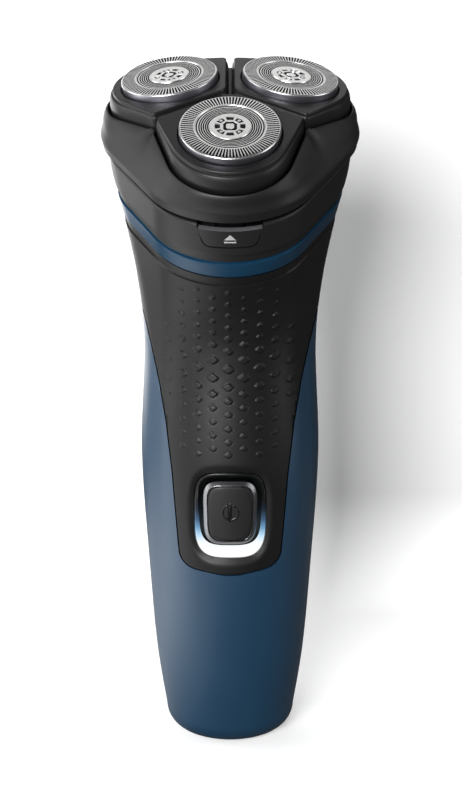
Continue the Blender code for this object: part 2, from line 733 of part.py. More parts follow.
def make_cutter(name, angle):
    place = pod_matrix(angle)
    low, high = -CUTTER_PLATE[1], -CUTTER_PLATE[0]
    arm = 2 * math.pi / CUTTER_BLADES
    star = []
    for index in range(CUTTER_BLADES):
        for across, radius in ((-0.32, CUTTER_ROOT), (-0.2, CUTTER_RADIUS), (0.2, CUTTER_RADIUS),
                               (0.32, CUTTER_ROOT)):
            turned_by = (index + across) * arm
            star.append((radius * math.cos(turned_by), radius * math.sin(turned_by)))
    cutter = plate("cutter_" + name, star, low, high, STEEL, place)
    flange = [(0, high + BITE), (CUTTER_FLANGE, high + BITE), (CUTTER_FLANGE, low - GAP),
              (CUTTER_HUB_RADIUS, low - 2 * GAP)]
    socket = [(CUTTER_HUB_RADIUS, -CUTTER_HUB_DEPTH), (SOCKET_RADIUS, -CUTTER_HUB_DEPTH),
              (SOCKET_RADIUS, -SOCKET_CEILING), (0, -SOCKET_CEILING)]
    join(cutter, turned("hub_" + name, flange + socket, GEAR, place, 14))
    length, width = BLADE
    foot = CUTTER_PLATE[0] + BITE
    blades = bmesh.new()
    for index in range(CUTTER_BLADES):
        blade = bmesh.ops.create_cube(blades, size=1.0)["verts"]
        bmesh.ops.scale(blades, verts=blade, vec=Vector((length, width, foot - CUTTER_TOP)) * MM)
        stand = shift(CUTTER_RADIUS - BLADE_INSET, 0, -(foot + CUTTER_TOP) / 2)
        bmesh.ops.transform(blades, verts=blade, matrix=turn(math.degrees(index * arm), "Z") @ stand)
    return join(cutter, from_bmesh("blades_" + name, blades, STEEL, place))


def make_retainer():
    ring = frame_ring(RETAINER[0], FRAME[0][1], FRAME[0][2], RETAINER_INSET, INSIDE + 4)
    retainer = plate("retaining_frame", [point[:2] for point in ring], *RETAINER, INNER, HEAD)
    vent_radius, vent = RETAINER_VENT
    for name, angle in POD_ANGLES.items():
        drill(retainer, "retainer_hole_" + name, FLOOR_HOLE - BITE, *DRILL, spindle_matrix(angle))
        place = HEAD @ turn(angle + 60, "Z") @ shift(vent_radius, 0, 0)
        drill(retainer, "retainer_vent_" + name, vent, *DRILL, place, 8)
    return drill(retainer, "retainer_bore", LOCK_STEM + GAP, *DRILL, HEAD)


def make_lock():
    top = RETAINER[0] - GAP
    lock = cylinder("retaining_lock", LOCK_RADIUS, top - LOCK_DISC, top, BLUE, HEAD, 20)
    high, low = LOCK_WING_DEPTH
    stem = cylinder("lock_stem", LOCK_STEM, top - high, LOCK_STEM_TOP, BLUE, HEAD, 16)
    length, width = LOCK_WING
    outline = rounded_box(length, width, width / 2 - WEB_STEP, steps=2)
    wing = plate("lock_wing", outline, top - low, top - high, BLUE, HEAD)
    return join(lock, stem, wing)


# ---------------------------------------------------------------- neck


def make_collar():
    collar = loft("collar", neck_rings(COLLAR_BOTTOM, COLLAR_TOP), BLACK, HEAD)
    below = neck_rings(COLLAR_BOTTOM - LOFT_PAST, DECK[0], COLLAR_WALL, 1, INSIDE + 10)
    above = neck_rings(DECK[1], COLLAR_TOP + LOFT_PAST, COLLAR_RIM, 1, INSIDE)
    cut(collar, loft("collar_inside", below, BLACK, HEAD), loft("collar_rim", above, BLACK, HEAD))
    for index, (u, v) in enumerate(NECK_SCREWS):
        place = HEAD @ shift(u, v, 0)
        bottom, top = GEAR_PLATE[1] + GAP, DECK[0] + BITE
        join(collar, cylinder(f"neck_boss_{index}", NECK_BOSS, bottom, top, BLACK, place, 16))
        drill(collar, f"neck_pilot_{index}", PILOT, DRILL[0], DECK[0] - PILOT_ROOF, place, 12)
    for name, angle in POD_ANGLES.items():
        drill(collar, "deck_hole_" + name, SPINDLE_SHAFT + POD_FIT, *DRILL, spindle_matrix(angle), 12)
    window = plate("release_window", release_outline(GAP), WINDOW_BACK, RELEASE_DEPTH[1], BLACK,
                   HEAD @ ALONG_Y)
    well = box("release_well", (-HOOK_HALF - GAP, WELL_FRONT, RELEASE_BOTTOM - GAP),
               (HOOK_HALF + GAP, HOOK_BACK + RELEASE_TRAVEL + 2 * GAP, COLLAR_TOP + PAST), BLACK, HEAD)
    cut(collar, window, well)
    knuckle_clear(collar, -WEB_STEP, KNUCKLE_HALF + GAP / 2)
    half = (HINGE_HALF - KNUCKLE_HALF - GAP) / 2
    for side in (-1, 1):
        middle = side * (HINGE_HALF + KNUCKLE_HALF) / 2
        low = HINGE_W - KNUCKLE_RADIUS + WEB_STEP
        web = box(f"collar_web_{side}", (middle - half, HINGE_V - COLLAR_WEB, low),
                  (middle + half, HINGE_V, HINGE_W - BITE), BLACK, HEAD)
        place = hinge_matrix(middle)
        barrel = cylinder(f"collar_barrel_{side}", KNUCKLE_RADIUS, -half, half, BLACK, place, 16)
        join(collar, web, barrel)
    reach = HINGE_HALF + PAST
    return drill(collar, "collar_bore", HINGE_PIN_RADIUS + GAP, -reach, reach, hinge_matrix())


def release_outline(extra=0.0):
    top, bottom = RELEASE_TOP + extra, RELEASE_BOTTOM - extra
    low_corner, high_corner = RELEASE_CORNER
    return rounded([(-RELEASE_FOOT - extra, bottom, low_corner), (RELEASE_FOOT + extra, bottom, low_corner),
                    (RELEASE_HALF + extra, top, high_corner), (-RELEASE_HALF - extra, top, high_corner)], 2)


def make_release():
    button = plate("release_button", release_outline(), *RELEASE_DEPTH, BLACK, HEAD @ ALONG_Y)
    face = neck_rings(RELEASE_BOTTOM - 2, RELEASE_TOP + 2, RELEASE_SINK)
    keep(button, loft("release_face", face, BLACK, HEAD))
    low, high = ARM
    arm = box("release_arm", (-HOOK_HALF, ARM_FRONT, RELEASE_BOTTOM + low),
              (HOOK_HALF, HOOK_BACK, RELEASE_BOTTOM + high), BLACK, HEAD)
    hook = box("release_hook", (-HOOK_HALF, HOOK_FRONT, RELEASE_BOTTOM + low),
               (HOOK_HALF, HOOK_BACK, FRAME_BOTTOM + HOOK_REACH), BLACK, HEAD)
    return join(button, arm, hook)


def make_hinge_pin():
    return cylinder("hinge_pin", HINGE_PIN_RADIUS, -HINGE_HALF, HINGE_HALF, STEEL, hinge_matrix(), 16)


def make_band():
    band = loft("neck_band", neck_rings(BAND_BOTTOM, BAND_TOP, 0, 1), BLUE, HEAD)
    inside = neck_rings(BAND_BOTTOM - LOFT_PAST, BAND_TOP + LOFT_PAST, WALL, 1, INSIDE)
    return cut(band, loft("band_inside", inside, BLUE, HEAD))


# ---------------------------------------------------------------- drive


def make_gear_plate():
    ring = neck_rings(BAND_BOTTOM, BAND_TOP, WALL + GAP, 1, INSIDE)[0]
    base = plate("gear_plate", [point[:2] for point in ring], *GEAR_PLATE, INNER, HEAD)
    drill(base, "shaft_hole", SHAFT_HOLE, *DRILL, HEAD)
    for name, angle in POD_ANGLES.items():
        drill(base, "bearing_hole_" + name, SPINDLE_SHAFT + GAP, *DRILL, spindle_matrix(angle), 12)
    for index, (u, v) in enumerate(NECK_SCREWS):
        drill(base, f"plate_hole_{index}", PILOT, *DRILL, HEAD @ shift(u, v, 0), 12)
    return base


def make_gear(name, angle):
    place = spindle_matrix(angle)
    pinion_pitch = MODULE * PINION_TEETH / 2
    gear_pitch = MODULE * GEAR_TEETH / 2
    phase = math.pi + (math.radians(angle) * pinion_pitch - math.pi * MODULE / 2) / gear_pitch
    gear = plate("drive_gear_" + name, toothed(GEAR_TEETH, phase), *GEAR_FACE, GEAR, place)
    return drill(gear, "gear_bore_" + name, SPINDLE_SHAFT + GAP, *DRILL, place, 12)


def make_spindle(name, angle):
    tip_radius, taper = SPINDLE_POINT
    profile = [(0, SPINDLE_TIP), (tip_radius, SPINDLE_TIP), (SPINDLE_SHAFT, SPINDLE_TIP - taper),
               (SPINDLE_SHAFT, GEAR_PLATE[0]), (0, GEAR_PLATE[0])]
    return turned("spindle_" + name, profile, STEEL, spindle_matrix(angle), 12)


def make_seal(name, angle):
    low, high = DECK[1] + GAP, DECK[1] + SEAL_HEIGHT
    bore = SPINDLE_SHAFT + GAP
    profile = [(bore, high), (SEAL_LIP, high), (SEAL_RADIUS, low + 2 * GAP), (SEAL_RADIUS, low), (bore, low)]
    return turned("spindle_seal_" + name, profile, RUBBER, spindle_matrix(angle), 12)


def make_motor():
    bottom = MOTOR_TOP - MOTOR_LENGTH
    shoulder = MOTOR_RADIUS - MOTOR_ROUND
    boss, boss_height = MOTOR_BEARING
    profile = [(0, MOTOR_TOP), (shoulder, MOTOR_TOP), (MOTOR_RADIUS, MOTOR_TOP - MOTOR_ROUND),
               (MOTOR_RADIUS, bottom + MOTOR_ROUND), (shoulder, bottom), (boss, bottom),
               (boss, bottom - boss_height), (0, bottom - boss_height)]
    motor = turned("motor", profile, STEEL, HEAD, 22)
    bore_end = MOTOR_TOP - SHAFT_DEPTH - BITE
    return drill(motor, "motor_bore", SHAFT_RADIUS + GAP, bore_end, MOTOR_TOP + PAST, HEAD)


def make_shaft():
    bottom, top = MOTOR_TOP - SHAFT_DEPTH, GEAR_FACE[1] + 2 * GAP
    return cylinder("motor_shaft", SHAFT_RADIUS, bottom, top, STEEL, HEAD, 16)


def make_pinion():
    bottom, top = GEAR_FACE[0] - BITE, GEAR_FACE[1] + GAP
    pinion = plate("motor_pinion", toothed(PINION_TEETH), bottom, top, COPPER, HEAD)
    return drill(pinion, "pinion_bore", SHAFT_RADIUS + GAP, *DRILL, HEAD)


def make_screw(name, place, size):
    """Screw with its head's underside at the origin and its shank going up along +Z."""
    head, length = size
    profile = [(0, length), (SCREW_SHANK, length), (SCREW_SHANK, 0), (head, 0), (head, GAP - SCREW_HEAD),
               (head - GAP, -SCREW_HEAD), (0, -SCREW_HEAD)]
    return turned(name, profile, STEEL, place, 10)


# ---------------------------------------------------------------- handle


def panel_outline(extra=0.0):
    """Grip panel seen from the front, grown by `extra` on every side."""
    corner_x, corner_z = PANEL_CORNER
    half = [(corner_x + extra, corner_z - extra, PANEL_CORNER_RADIUS)]
    half += [(x + extra, z, PANEL_EDGE_RADIUS) for x, z in PANEL_EDGE[:-1]]
    side_x, side_z = PANEL_EDGE[-1]
    half += [(side_x + extra, side_z - extra, 0), (PANEL_SIDE, side_z - extra, 0), (PANEL_SIDE, PANEL_TOP, 0)]
    mirrored = [(-x, z, radius) for x, z, radius in reversed(half)]
    return rounded([(0, PANEL_BOTTOM - extra, PANEL_END_RADIUS)] + half + mirrored, 2)


def shell_part(name, outer, inner, material):
    """Hollow handle between two insets, open at its top edge."""
    shell = loft(name, handle_rings(outer), material)
    return cut(shell, loft(name + "_hollow", handle_rings(inner, 1, PAST, INSIDE), material))


def half_space(name, material, low=(-FAR, -FAR, -FAR), high=(FAR, FAR, FAR)):
    """Everything between two corners, each of them far away unless it is given."""
    return box(name, low, high, material)


def in_front_of(name, y, material):
    return half_space(name, material, high=(FAR, y, FAR))


def behind(name, y, material):
    return half_space(name, material, low=(-FAR, y, -FAR))


def inlet_outline(extra=0.0):
    return rounded_box(INLET_WIDTH + 2 * extra, INLET_HEIGHT + 2 * extra, INLET_CORNER + BITE * bool(extra),
                       0, INLET_Y)


def inlet_clear(piece):
    hole = inlet_outline(INLET_WALL + GAP)
    return cut(piece, plate(piece.name + "_inlet", hole, -PAST, FOOT_ROUND, BLUE))


def make_rear_housing():
    rear = shell_part("rear_housing", 0, WALL, BLUE)
    cut(rear, in_front_of("front_half", PARTING_Y + GAP / 2, BLUE))
    return inlet_clear(rear)


def make_front_housing():
    front = shell_part("front_housing", 0, WALL, BLUE)
    cut(front, behind("rear_half", PARTING_Y - GAP / 2, BLUE))
    cut(front, plate("panel_opening", panel_outline(PANEL_FIT), 0, FAR, BLUE, ALONG_Y))
    for side in (-1, 1):
        place = foot_screw_matrix(side)
        drill(front, f"foot_hole_{side}", SCREW_SHANK + BITE, -PAST, 2 * PAST, place, 12)
        drill(front, f"foot_sink_{side}", FOOT_SINK_RADIUS, -PAST, FOOT_SINK, place)
    return inlet_clear(front)


def make_grip_panel():
    panel = shell_part("grip_panel", 0, PANEL_DEPTH, GRIP)
    keep(panel, plate("panel_shape", panel_outline(), 0, FAR, GRIP, ALONG_Y))
    window = plate("button_window", window_outline(), 0, FAR, GRIP, ALONG_Y)
    return cut(panel, behind("panel_rear", PARTING_Y - GAP / 2, GRIP), window)


def window_outline(extra=0.0):
    width, height = WINDOW_WIDTH + 2 * extra, WINDOW_HEIGHT + 2 * extra
    return rounded_box(width, height, WINDOW_CORNER + extra, 0, WINDOW_Z)


def button_outline(extra=0.0):
    width, height = BUTTON_WIDTH + 2 * extra, BUTTON_HEIGHT + 2 * extra
    return rounded_box(width, height, BUTTON_CORNER + extra, 0, BUTTON_Z)


def make_window_ring(name, material, low, high, sink):
    """Part of the ring around the power button, between two heights, with its face sunk."""
    ring = shell_part(name, sink, PANEL_DEPTH, material)
    keep(ring, plate(name + "_shape", window_outline(-GAP), 0, FAR, material, ALONG_Y))
    return cut(ring, plate(name + "_hole", button_outline(BUTTON_SLOT), 0, FAR, material, ALONG_Y),
               half_space(name + "_below", material, high=(FAR, FAR, low)),
               half_space(name + "_above", material, low=(-FAR, -FAR, high)))


def make_power_button():
    button = shell_part("power_button", BUTTON_SINK, BUTTON_DEPTH, GLOSS)
    keep(button, plate("button_shape", button_outline(), 0, FAR, GLOSS, ALONG_Y))
    place = shift(0, 0, BUTTON_Z) @ ALONG_Y
    stem = cylinder("button_stem", BUTTON_STEM, GAP - SWITCH_FACE, -BUTTON_STEM_END, GLOSS, place, 12)
    return join(button, stem)


def make_switch():
    place = shift(0, 0, BUTTON_Z) @ ALONG_Y
    low = -BOARD_Y[0] + GAP
    case = box("power_switch", (-SWITCH_HALF, -SWITCH_HALF, low),
               (SWITCH_HALF, SWITCH_HALF, -SWITCH_FACE - SWITCH_STEP), INNER, place)
    key_end = -SWITCH_FACE - BUTTON_TRAVEL - GAP
    return join(case, cylinder("switch_key", SWITCH_KEY, low + BITE, key_end, INNER, place, 12))


def on_board(name, z, size, material):
    """Small block soldered to the front of the circuit board."""
    width, height, thickness = size
    low = -BOARD_Y[0] + GAP
    return box(name, (-width / 2, z - height / 2, low), (width / 2, z + height / 2, low + thickness),
               material, ALONG_Y)


def make_board():
    low, high = BOARD_Z
    outline = rounded_box(BOARD_WIDTH, high - low, BOARD_CORNER, 0, (high + low) / 2, 2)
    return plate("circuit_board", outline, -BOARD_Y[1], -BOARD_Y[0], BOARD, ALONG_Y)


def foot_screw_matrix(side):
    return shift(side * FOOT_SCREW_X, FOOT_SCREW_Y, 0)


def make_chassis():
    front, back = CHASSIS_Y
    bottom, top = CHASSIS_Z
    low, high = BATTERY_Z
    root = front + BITE
    chassis = box("chassis", (-CHASSIS_HALF, front, bottom), (CHASSIS_HALF, back, top), INNER)
    near = BATTERY_RADIUS + GAP
    far = near + CRADLE_WALL
    for side in (-1, 1):
        wall = box(f"cradle_{side}", (min(side * near, side * far), root, low),
                   (max(side * near, side * far), BATTERY_Y + CRADLE_REACH, high), INNER)
        place = foot_screw_matrix(side)
        foot = cylinder(f"chassis_foot_{side}", CHASSIS_FOOT, WALL + GAP, bottom + PAST, INNER, place, 16)
        rib = box(f"chassis_rib_{side}", (side * FOOT_SCREW_X - RIB_HALF, root, bottom),
                  (side * FOOT_SCREW_X + RIB_HALF, FOOT_SCREW_Y + RIB_HALF, bottom + CHASSIS_FOOT), INNER)
        join(chassis, wall, foot, rib)
        drill(chassis, f"foot_pilot_{side}", PILOT, 0, bottom + PILOT, place, 12)
    for end in (low - 3 * GAP - SHELF_THICKNESS, high + 3 * GAP):
        shelf = box(f"cradle_end_{int(end)}", (-SHELF_HALF, root, end),
                    (SHELF_HALF, BATTERY_Y + CRADLE_REACH, end + SHELF_THICKNESS), INNER)
        join(chassis, shelf)
    half_width, half_height = LEAD_SLOT
    return cut(chassis, box("lead_slot", (-half_width, front - PAST, LEAD_Z - half_height),
                            (half_width, back + PAST, LEAD_Z + half_height), INNER))


def make_battery():
    low, high = BATTERY_Z
    radius, round_by = BATTERY_RADIUS, BATTERY_ROUND
    button_radius, button_height = BATTERY_BUTTON
    shoulder = high - button_height
    profile = [(0, high), (button_radius, high), (button_radius, shoulder), (radius - round_by, shoulder),
               (radius, shoulder - round_by), (radius, low + round_by), (radius - round_by, low), (0, low)]
    return turned("battery_cell", profile, CELL, shift(0, BATTERY_Y, 0), 20)


def make_tab(name, height):
    return box(name, (-TAB_HALF, CHASSIS_Y[1] + GAP, height),
               (TAB_HALF, BATTERY_Y + CRADLE_REACH, height + TAB_THICKNESS), STEEL)


def make_inlet():
    inlet = plate("inlet_socket", inlet_outline(INLET_WALL), INLET_SINK, INLET_DEPTH + INLET_BACK, INNER)
    cut(inlet, plate("inlet_cavity", inlet_outline(), -PAST, INLET_DEPTH, INNER))
    for side in (-1, 1):
        place = shift(side * PIN_SPACING, INLET_Y, 0)
        drill(inlet, f"pin_hole_{side}", INLET_PIN + GAP, 0, INLET_DEPTH + PAST, place, 12)
    return inlet


def make_pin(name, side):
    place = shift(side * PIN_SPACING, INLET_Y, 0)
    inside, outside = PIN_REACH
    return cylinder(name, INLET_PIN, INLET_DEPTH - inside, INLET_DEPTH + outside, COPPER, place, 12)


def make_lead(name, side, material):
    """Lead from the motor's lower end, through the chassis, to the circuit board."""
    exit_x, exit_v = LEAD_EXIT
    x = side * exit_x
    y, z = head_point(exit_v, MOTOR_TOP - MOTOR_LENGTH - GAP)
    board_x = side * LEAD_X
    route = [(x, y - 0.2, z - 0.5), (x, y - 1.6, z - 3.5), (board_x * 1.2, y - 5.5, LEAD_Z + 0.4),
             (board_x, sum(CHASSIS_Y) / 2, LEAD_Z), (board_x, BOARD_Y[0] - 0.6, LEAD_Z - 0.6),
             (board_x, BOARD_Y[0] - 1.2, LEAD_Z - 3.6)]
    return wire(name, route, LEAD_RADIUS, material)


def make_gasket():
    outer, inner = ([point[:2] for point in neck_rings(BODY_TOP, BAND_BOTTOM, inset, 1, INSIDE)[0]]
                    for inset in (WALL + GAP, WALL + GAP + GASKET_WIDTH))
    top = GEAR_PLATE[0] - GAP
    gasket = plate("neck_seal", outer, top - GASKET_THICKNESS, top, RUBBER, HEAD)
    return cut(gasket, plate("seal_inside", inner, *DRILL, RUBBER, HEAD))


# ---------------------------------------------------------------- assembly


def build():
    hinge = carrier("head_hinge_axis", HEAD @ shift(0, HINGE_V, HINGE_W))
    carry(hinge, make_head_frame(), make_retainer())
    lock_axis = carrier("lock_axis", HEAD @ shift(0, 0, RETAINER[0]))
    carry(hinge, lock_axis)
    carry(lock_axis, make_lock())
    for name, angle in POD_ANGLES.items():
        flex_place = HEAD @ turn(angle, "Z") @ shift(POD_FLEX_RADIUS, 0, -POD_FLEX_DEPTH)
        flex_axis = carrier(f"pod_{name}_axis", flex_place)
        carry(hinge, flex_axis)
        cutter_axis = carrier(f"cutter_{name}_axis", pod_matrix(angle))
        carry(flex_axis, make_pod(name, angle), make_cap(name, angle), cutter_axis)
        carry(cutter_axis, make_cutter(name, angle))
        gear_axis = carrier(f"gear_{name}_axis", spindle_matrix(angle) @ shift(0, 0, GEAR_FACE[0]))
        carry(gear_axis, make_gear(name, angle), make_spindle(name, angle))
        make_seal(name, angle)

    release_axis = carrier("release_slide", HEAD @ shift(0, HOOK_FRONT, RELEASE_TOP))
    carry(release_axis, make_release())
    make_collar()
    make_hinge_pin()
    make_band()
    make_gasket()
    make_gear_plate()
    make_motor()
    motor_axis = carrier("motor_axis", HEAD @ shift(0, 0, GEAR_FACE[0]))
    carry(motor_axis, make_shaft(), make_pinion())
    for index, (u, v) in enumerate(NECK_SCREWS):
        place = HEAD @ shift(u, v, GEAR_PLATE[0] - GAP)
        make_screw(f"neck_screw_{index + 1}", place, NECK_SCREW)

    make_rear_housing()
    make_front_housing()
    make_grip_panel()
    make_window_ring("light_guide", LIGHT, 0, LIGHT_TOP, LIGHT_SINK)
    make_window_ring("button_surround", GLOSS, LIGHT_TOP + GAP, FAR / 2, SURROUND_SINK)
    press_axis = carrier("power_button_slide", shift(0, BUTTON_STEM_END, BUTTON_Z))
    carry(press_axis, make_power_button())
    make_board()
    make_switch()
    on_board("control_chip", CHIP_Z, CHIP_SIZE, INNER)
    on_board("status_led", LED_Z, LED_SIZE, LIGHT)
    make_chassis()
    make_battery()
    make_tab("battery_tab_top", BATTERY_Z[1] + GAP)
    make_tab("battery_tab_bottom", BATTERY_Z[0] - 2 * GAP)
    make_inlet()
    for name, side in (("left", -1), ("right", 1)):
        make_pin("inlet_pin_" + name, side)
        make_screw("foot_screw_" + name, foot_screw_matrix(side) @ shift(0, 0, FOOT_SINK - GAP), FOOT_SCREW)
    make_lead("motor_lead_red", -1, new_material("red_lead", (0.5, 0.02, 0.02), 0.5))
    make_lead("motor_lead_black", 1, RUBBER)


build()
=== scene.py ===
# Rotary electric shaver standing on its foot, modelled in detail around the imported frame.
# Places are worked out in millimetres and turned into metres where a mesh is made.
import json
import math

import bmesh
import bpy
from mathutils import Matrix, Vector


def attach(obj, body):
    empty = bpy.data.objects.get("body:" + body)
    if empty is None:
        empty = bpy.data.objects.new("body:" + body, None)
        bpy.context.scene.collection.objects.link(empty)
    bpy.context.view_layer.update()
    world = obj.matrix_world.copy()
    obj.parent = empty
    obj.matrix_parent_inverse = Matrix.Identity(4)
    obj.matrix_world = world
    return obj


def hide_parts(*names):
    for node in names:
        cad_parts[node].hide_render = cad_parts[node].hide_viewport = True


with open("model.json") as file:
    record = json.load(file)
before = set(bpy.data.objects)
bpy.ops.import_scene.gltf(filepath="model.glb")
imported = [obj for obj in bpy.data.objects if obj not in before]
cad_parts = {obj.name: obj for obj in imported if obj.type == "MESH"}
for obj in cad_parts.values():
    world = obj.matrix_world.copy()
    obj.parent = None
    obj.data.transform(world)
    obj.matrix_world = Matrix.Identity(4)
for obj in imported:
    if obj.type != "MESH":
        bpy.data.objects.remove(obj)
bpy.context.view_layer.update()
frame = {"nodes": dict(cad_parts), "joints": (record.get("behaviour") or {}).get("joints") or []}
mm = 0.001
joints = {joint["name"]: joint for joint in frame["joints"]}
podAngles = {"front": -90, "right": 30, "left": 150}
print("stage: frame loaded,", len(frame["nodes"]), "nodes")

shaver = {
    "headPlane": 160.0,        # height of the point where the head's axis meets the plane of the caps
    "podReach": 16.3,          # head's centre to each cap's centre
    "podTilt": 8.0,            # each shaving head leans outwards
    "wall": 2.0,
    "partingY": 4.0,           # plane between the front and rear housings
    "partingHalf": 0.13,       # half the gap there
    "around": 144,             # points around the neck's pieces
    "levels": (8, 8, 10, 9, 8, 7),    # rings between the handle's stations, from the foot up
}

# Handle from the foot up: front y, front z, rear y, rear z, half width, corners
# (0 is an oval, and more is nearer to a rounded triangle).
handleStations = [
    (-15.2, 6.0, 14.4, 6.0, 16.3, 0.00),
    (-17.3, 22.0, 16.8, 22.0, 18.6, 0.00),
    (-19.0, 45.0, 18.6, 45.0, 20.4, 0.05),
    (-19.8, 72.0, 19.4, 74.0, 21.9, 0.10),
    (-17.4, 97.0, 20.6, 103.0, 21.0, 0.15),
    (-18.7, 108.5, 22.8, 124.0, 22.7, 0.25),
]


# Neck, along the head's axis: height, front, rear, half width, corners.
neckStations = [
    (-29.6, -31.5, 20.5, 25.9, 0.40),
    (-25.2, -32.2, 22.6, 27.0, 0.42),
    (-20.5, -32.0, 24.2, 28.2, 0.48),
    (-16.0, -31.7, 24.6, 28.6, 0.50),
]


# Head frame's outside: height, corner's centre from the head's axis, corner's radius.
frameLevels = [
    (-13.2, 11.2, 20.8),
    (-12.7, 11.3, 20.65),
    (-11.0, 12.3, 19.1),
    (-8.3, 14.6, 15.8),
    (-3.0, 17.6, 9.6),
]
footCurve = {"height": 6.0, "inset": 6.0}


def readHead():
    # the head's axis is the motor's, and its centre lies on it at the caps' height
    axis = Vector(joints["motor_spin"]["axis"]).normalized()
    place = Vector(joints["motor_spin"]["pos_m"]) / mm
    centre = place + axis * (shaver["headPlane"] - place.z) / axis.z
    return Matrix.Translation(centre) @ Matrix.Rotation(math.atan2(-axis.y, axis.z), 4, "X")


head = readHead()


def shiftBy(*place):
    return Matrix.Translation(place)


def spinBy(degrees, axis, size=4):
    return Matrix.Rotation(math.radians(degrees), size, axis)


def podPlace(angle):
    # +X outwards, +Z along the shaving head's own axis, origin at the cap's centre
    return head @ spinBy(angle, "Z") @ shiftBy(shaver["podReach"], 0, 0) @ spinBy(shaver["podTilt"], "Y")


def triangleRadius(angle, corners):
    # polar radius of three unit circles set "corners" from the centre, with their tangents
    third = math.radians(120)
    off = abs((angle + third / 2) % third - third / 2)
    if off <= math.atan2(math.sqrt(3) / 2, corners + 0.5):
        return corners * math.cos(off) + math.sqrt(1 - (corners * math.sin(off)) ** 2)
    return (corners / 2 + 1) / math.cos(third / 2 - off)


def between(stations, position):
    # smooth curve through a list of stations, at a position counted in stations
    index = max(0, min(int(position), len(stations) - 2))
    t = position - index
    quad = [stations[max(0, min(len(stations) - 1, index + step))] for step in (-1, 0, 1, 2)]
    return [0.5 * (2 * b + (c - a) * t + (2 * a - 5 * b + 4 * c - d) * t * t
                   + (3 * b - a - 3 * c + d) * t ** 3) for a, b, c, d in zip(*quad)]


def sectionPoint(frontY, frontZ, rearY, rearZ, halfWidth, corners, angle):
    radius = triangleRadius(angle, corners)
    side = halfWidth * radius * math.sin(angle) / (corners * math.sqrt(0.75) + 1)
    along = (corners + 1 - radius * math.cos(angle)) / (1.5 * corners + 2)
    return Vector((side, frontY + along * (rearY - frontY), frontZ + along * (rearZ - frontZ)))


def worldStation(height, front, rear, halfWidth, corners):
    first, last = head @ Vector((0, front, height)), head @ Vector((0, rear, height))
    return (first.y, first.z, last.y, last.z, halfWidth, corners)


bodyStations = handleStations + [worldStation(*station) for station in neckStations]
bodyTop = float(len(handleStations))


def bodyPoint(angle, position, inset=0.0):
    # point of the handle's outside: -1 is the foot's flat, 0 the first station, bodyTop the last
    if position < 0:
        lean = math.radians(-90 * position)
        frontY, _, rearY, _, halfWidth, corners = bodyStations[0]
        inset += footCurve["inset"] * (1 - math.cos(lean))
        frontZ = rearZ = footCurve["height"] * (1 - math.sin(lean))
    else:
        frontY, frontZ, rearY, rearZ, halfWidth, corners = between(bodyStations, position)
    return sectionPoint(frontY + inset, frontZ, rearY - inset, rearZ, halfWidth - inset, corners, angle)


def neckPoint(angle, height, inset=0.0):
    # point of the neck's outside in world millimetres, from a height on the head's axis
    heights = [station[0] for station in neckStations]
    inside = max(heights[0], min(heights[-1], height))
    index = min(max(i for i, level in enumerate(heights) if level <= inside), len(heights) - 2)
    position = index + (inside - heights[index]) / (heights[index + 1] - heights[index])
    _, front, rear, halfWidth, corners = between(neckStations, position)
    local = sectionPoint(front + inset, height, rear - inset, height, halfWidth - inset, corners, angle)
    return head @ local


def solve(function, low, high, steps=26):
    # root of a rising function between two limits
    for _ in range(steps):
        middle = (low + high) / 2
        if function(middle) < 0:
            low = middle
        else:
            high = middle
    return (low + high) / 2


def stationAtHeight(height):
    # station at which the middle of the handle's front has the given height
    return solve(lambda p: bodyPoint(0, p).z - height, 0.0, bodyTop + 1)


def angleAtDepth(position, depth):
    # angle from the front at which the handle's outside has the given y
    return solve(lambda a: bodyPoint(a, position).y - depth, 0.2, math.pi - 0.05)


def mix(a, b, t):
    return a + (b - a) * t


def ease(value, low, high):
    # 0 below low, 1 above high, and smooth in between
    t = max(0.0, min(1.0, (value - low) / (high - low)))
    return t * t * (3 - 2 * t)


# Modelling steps.


def deselectAll():
    bpy.ops.object.select_all(action="DESELECT")


def onlySelect(piece):
    deselectAll()
    piece.select_set(True)
    bpy.context.view_layer.objects.active = piece


def named(name):
    piece = bpy.context.object
    piece.name = piece.data.name = name
    return piece


def settle(piece, matrix=None):
    # the place goes into the mesh, so the object stays at the origin
    onlySelect(piece)
    if matrix is not None:
        piece.matrix_world = matrix @ piece.matrix_world
    bpy.ops.object.transform_apply(location=True, rotation=True, scale=True)
    return piece


def meters(matrix):
    # a placing matrix in millimetres, for a mesh in metres
    return Matrix.Translation(matrix.translation * mm) @ matrix.to_3x3().to_4x4()


def applyModifier(piece, kind, **settings):
    onlySelect(piece)
    modifier = piece.modifiers.new(kind.title(), kind)
    for key, value in settings.items():
        setattr(modifier, key, value)
    bpy.ops.object.modifier_apply(modifier=modifier.name)
    return piece


def bevelEdges(piece, width, segments=3, degrees=40):
    return applyModifier(piece, "BEVEL", width=width * mm, segments=segments, limit_method="ANGLE",
                         angle_limit=math.radians(degrees))


def combine(piece, other, operation):
    applyModifier(piece, "BOOLEAN", operation=operation, object=other, solver="EXACT")
    bpy.data.objects.remove(other, do_unlink=True)
    return piece


def cutAway(piece, *cutters):
    for cutter in cutters:
        combine(piece, cutter, "DIFFERENCE")
    return piece


def unite(piece, *others):
    for other in others:
        combine(piece, other, "UNION")
    return piece


def joinInto(name, pieces):
    deselectAll()
    for piece in pieces:
        piece.select_set(True)
    bpy.context.view_layer.objects.active = pieces[0]
    bpy.ops.object.join()
    return named(name)


def copyOf(piece, name):
    twin = piece.copy()
    twin.data = piece.data.copy()
    bpy.context.collection.objects.link(twin)
    twin.name = twin.data.name = name
    return twin


def editAll(piece, step, **settings):
    # one step of mesh editing, on every part of the mesh
    onlySelect(piece)
    bpy.ops.object.mode_set(mode="EDIT")
    bpy.ops.mesh.select_all(action="SELECT")
    step(**settings)
    bpy.ops.object.mode_set(mode="OBJECT")
    return piece


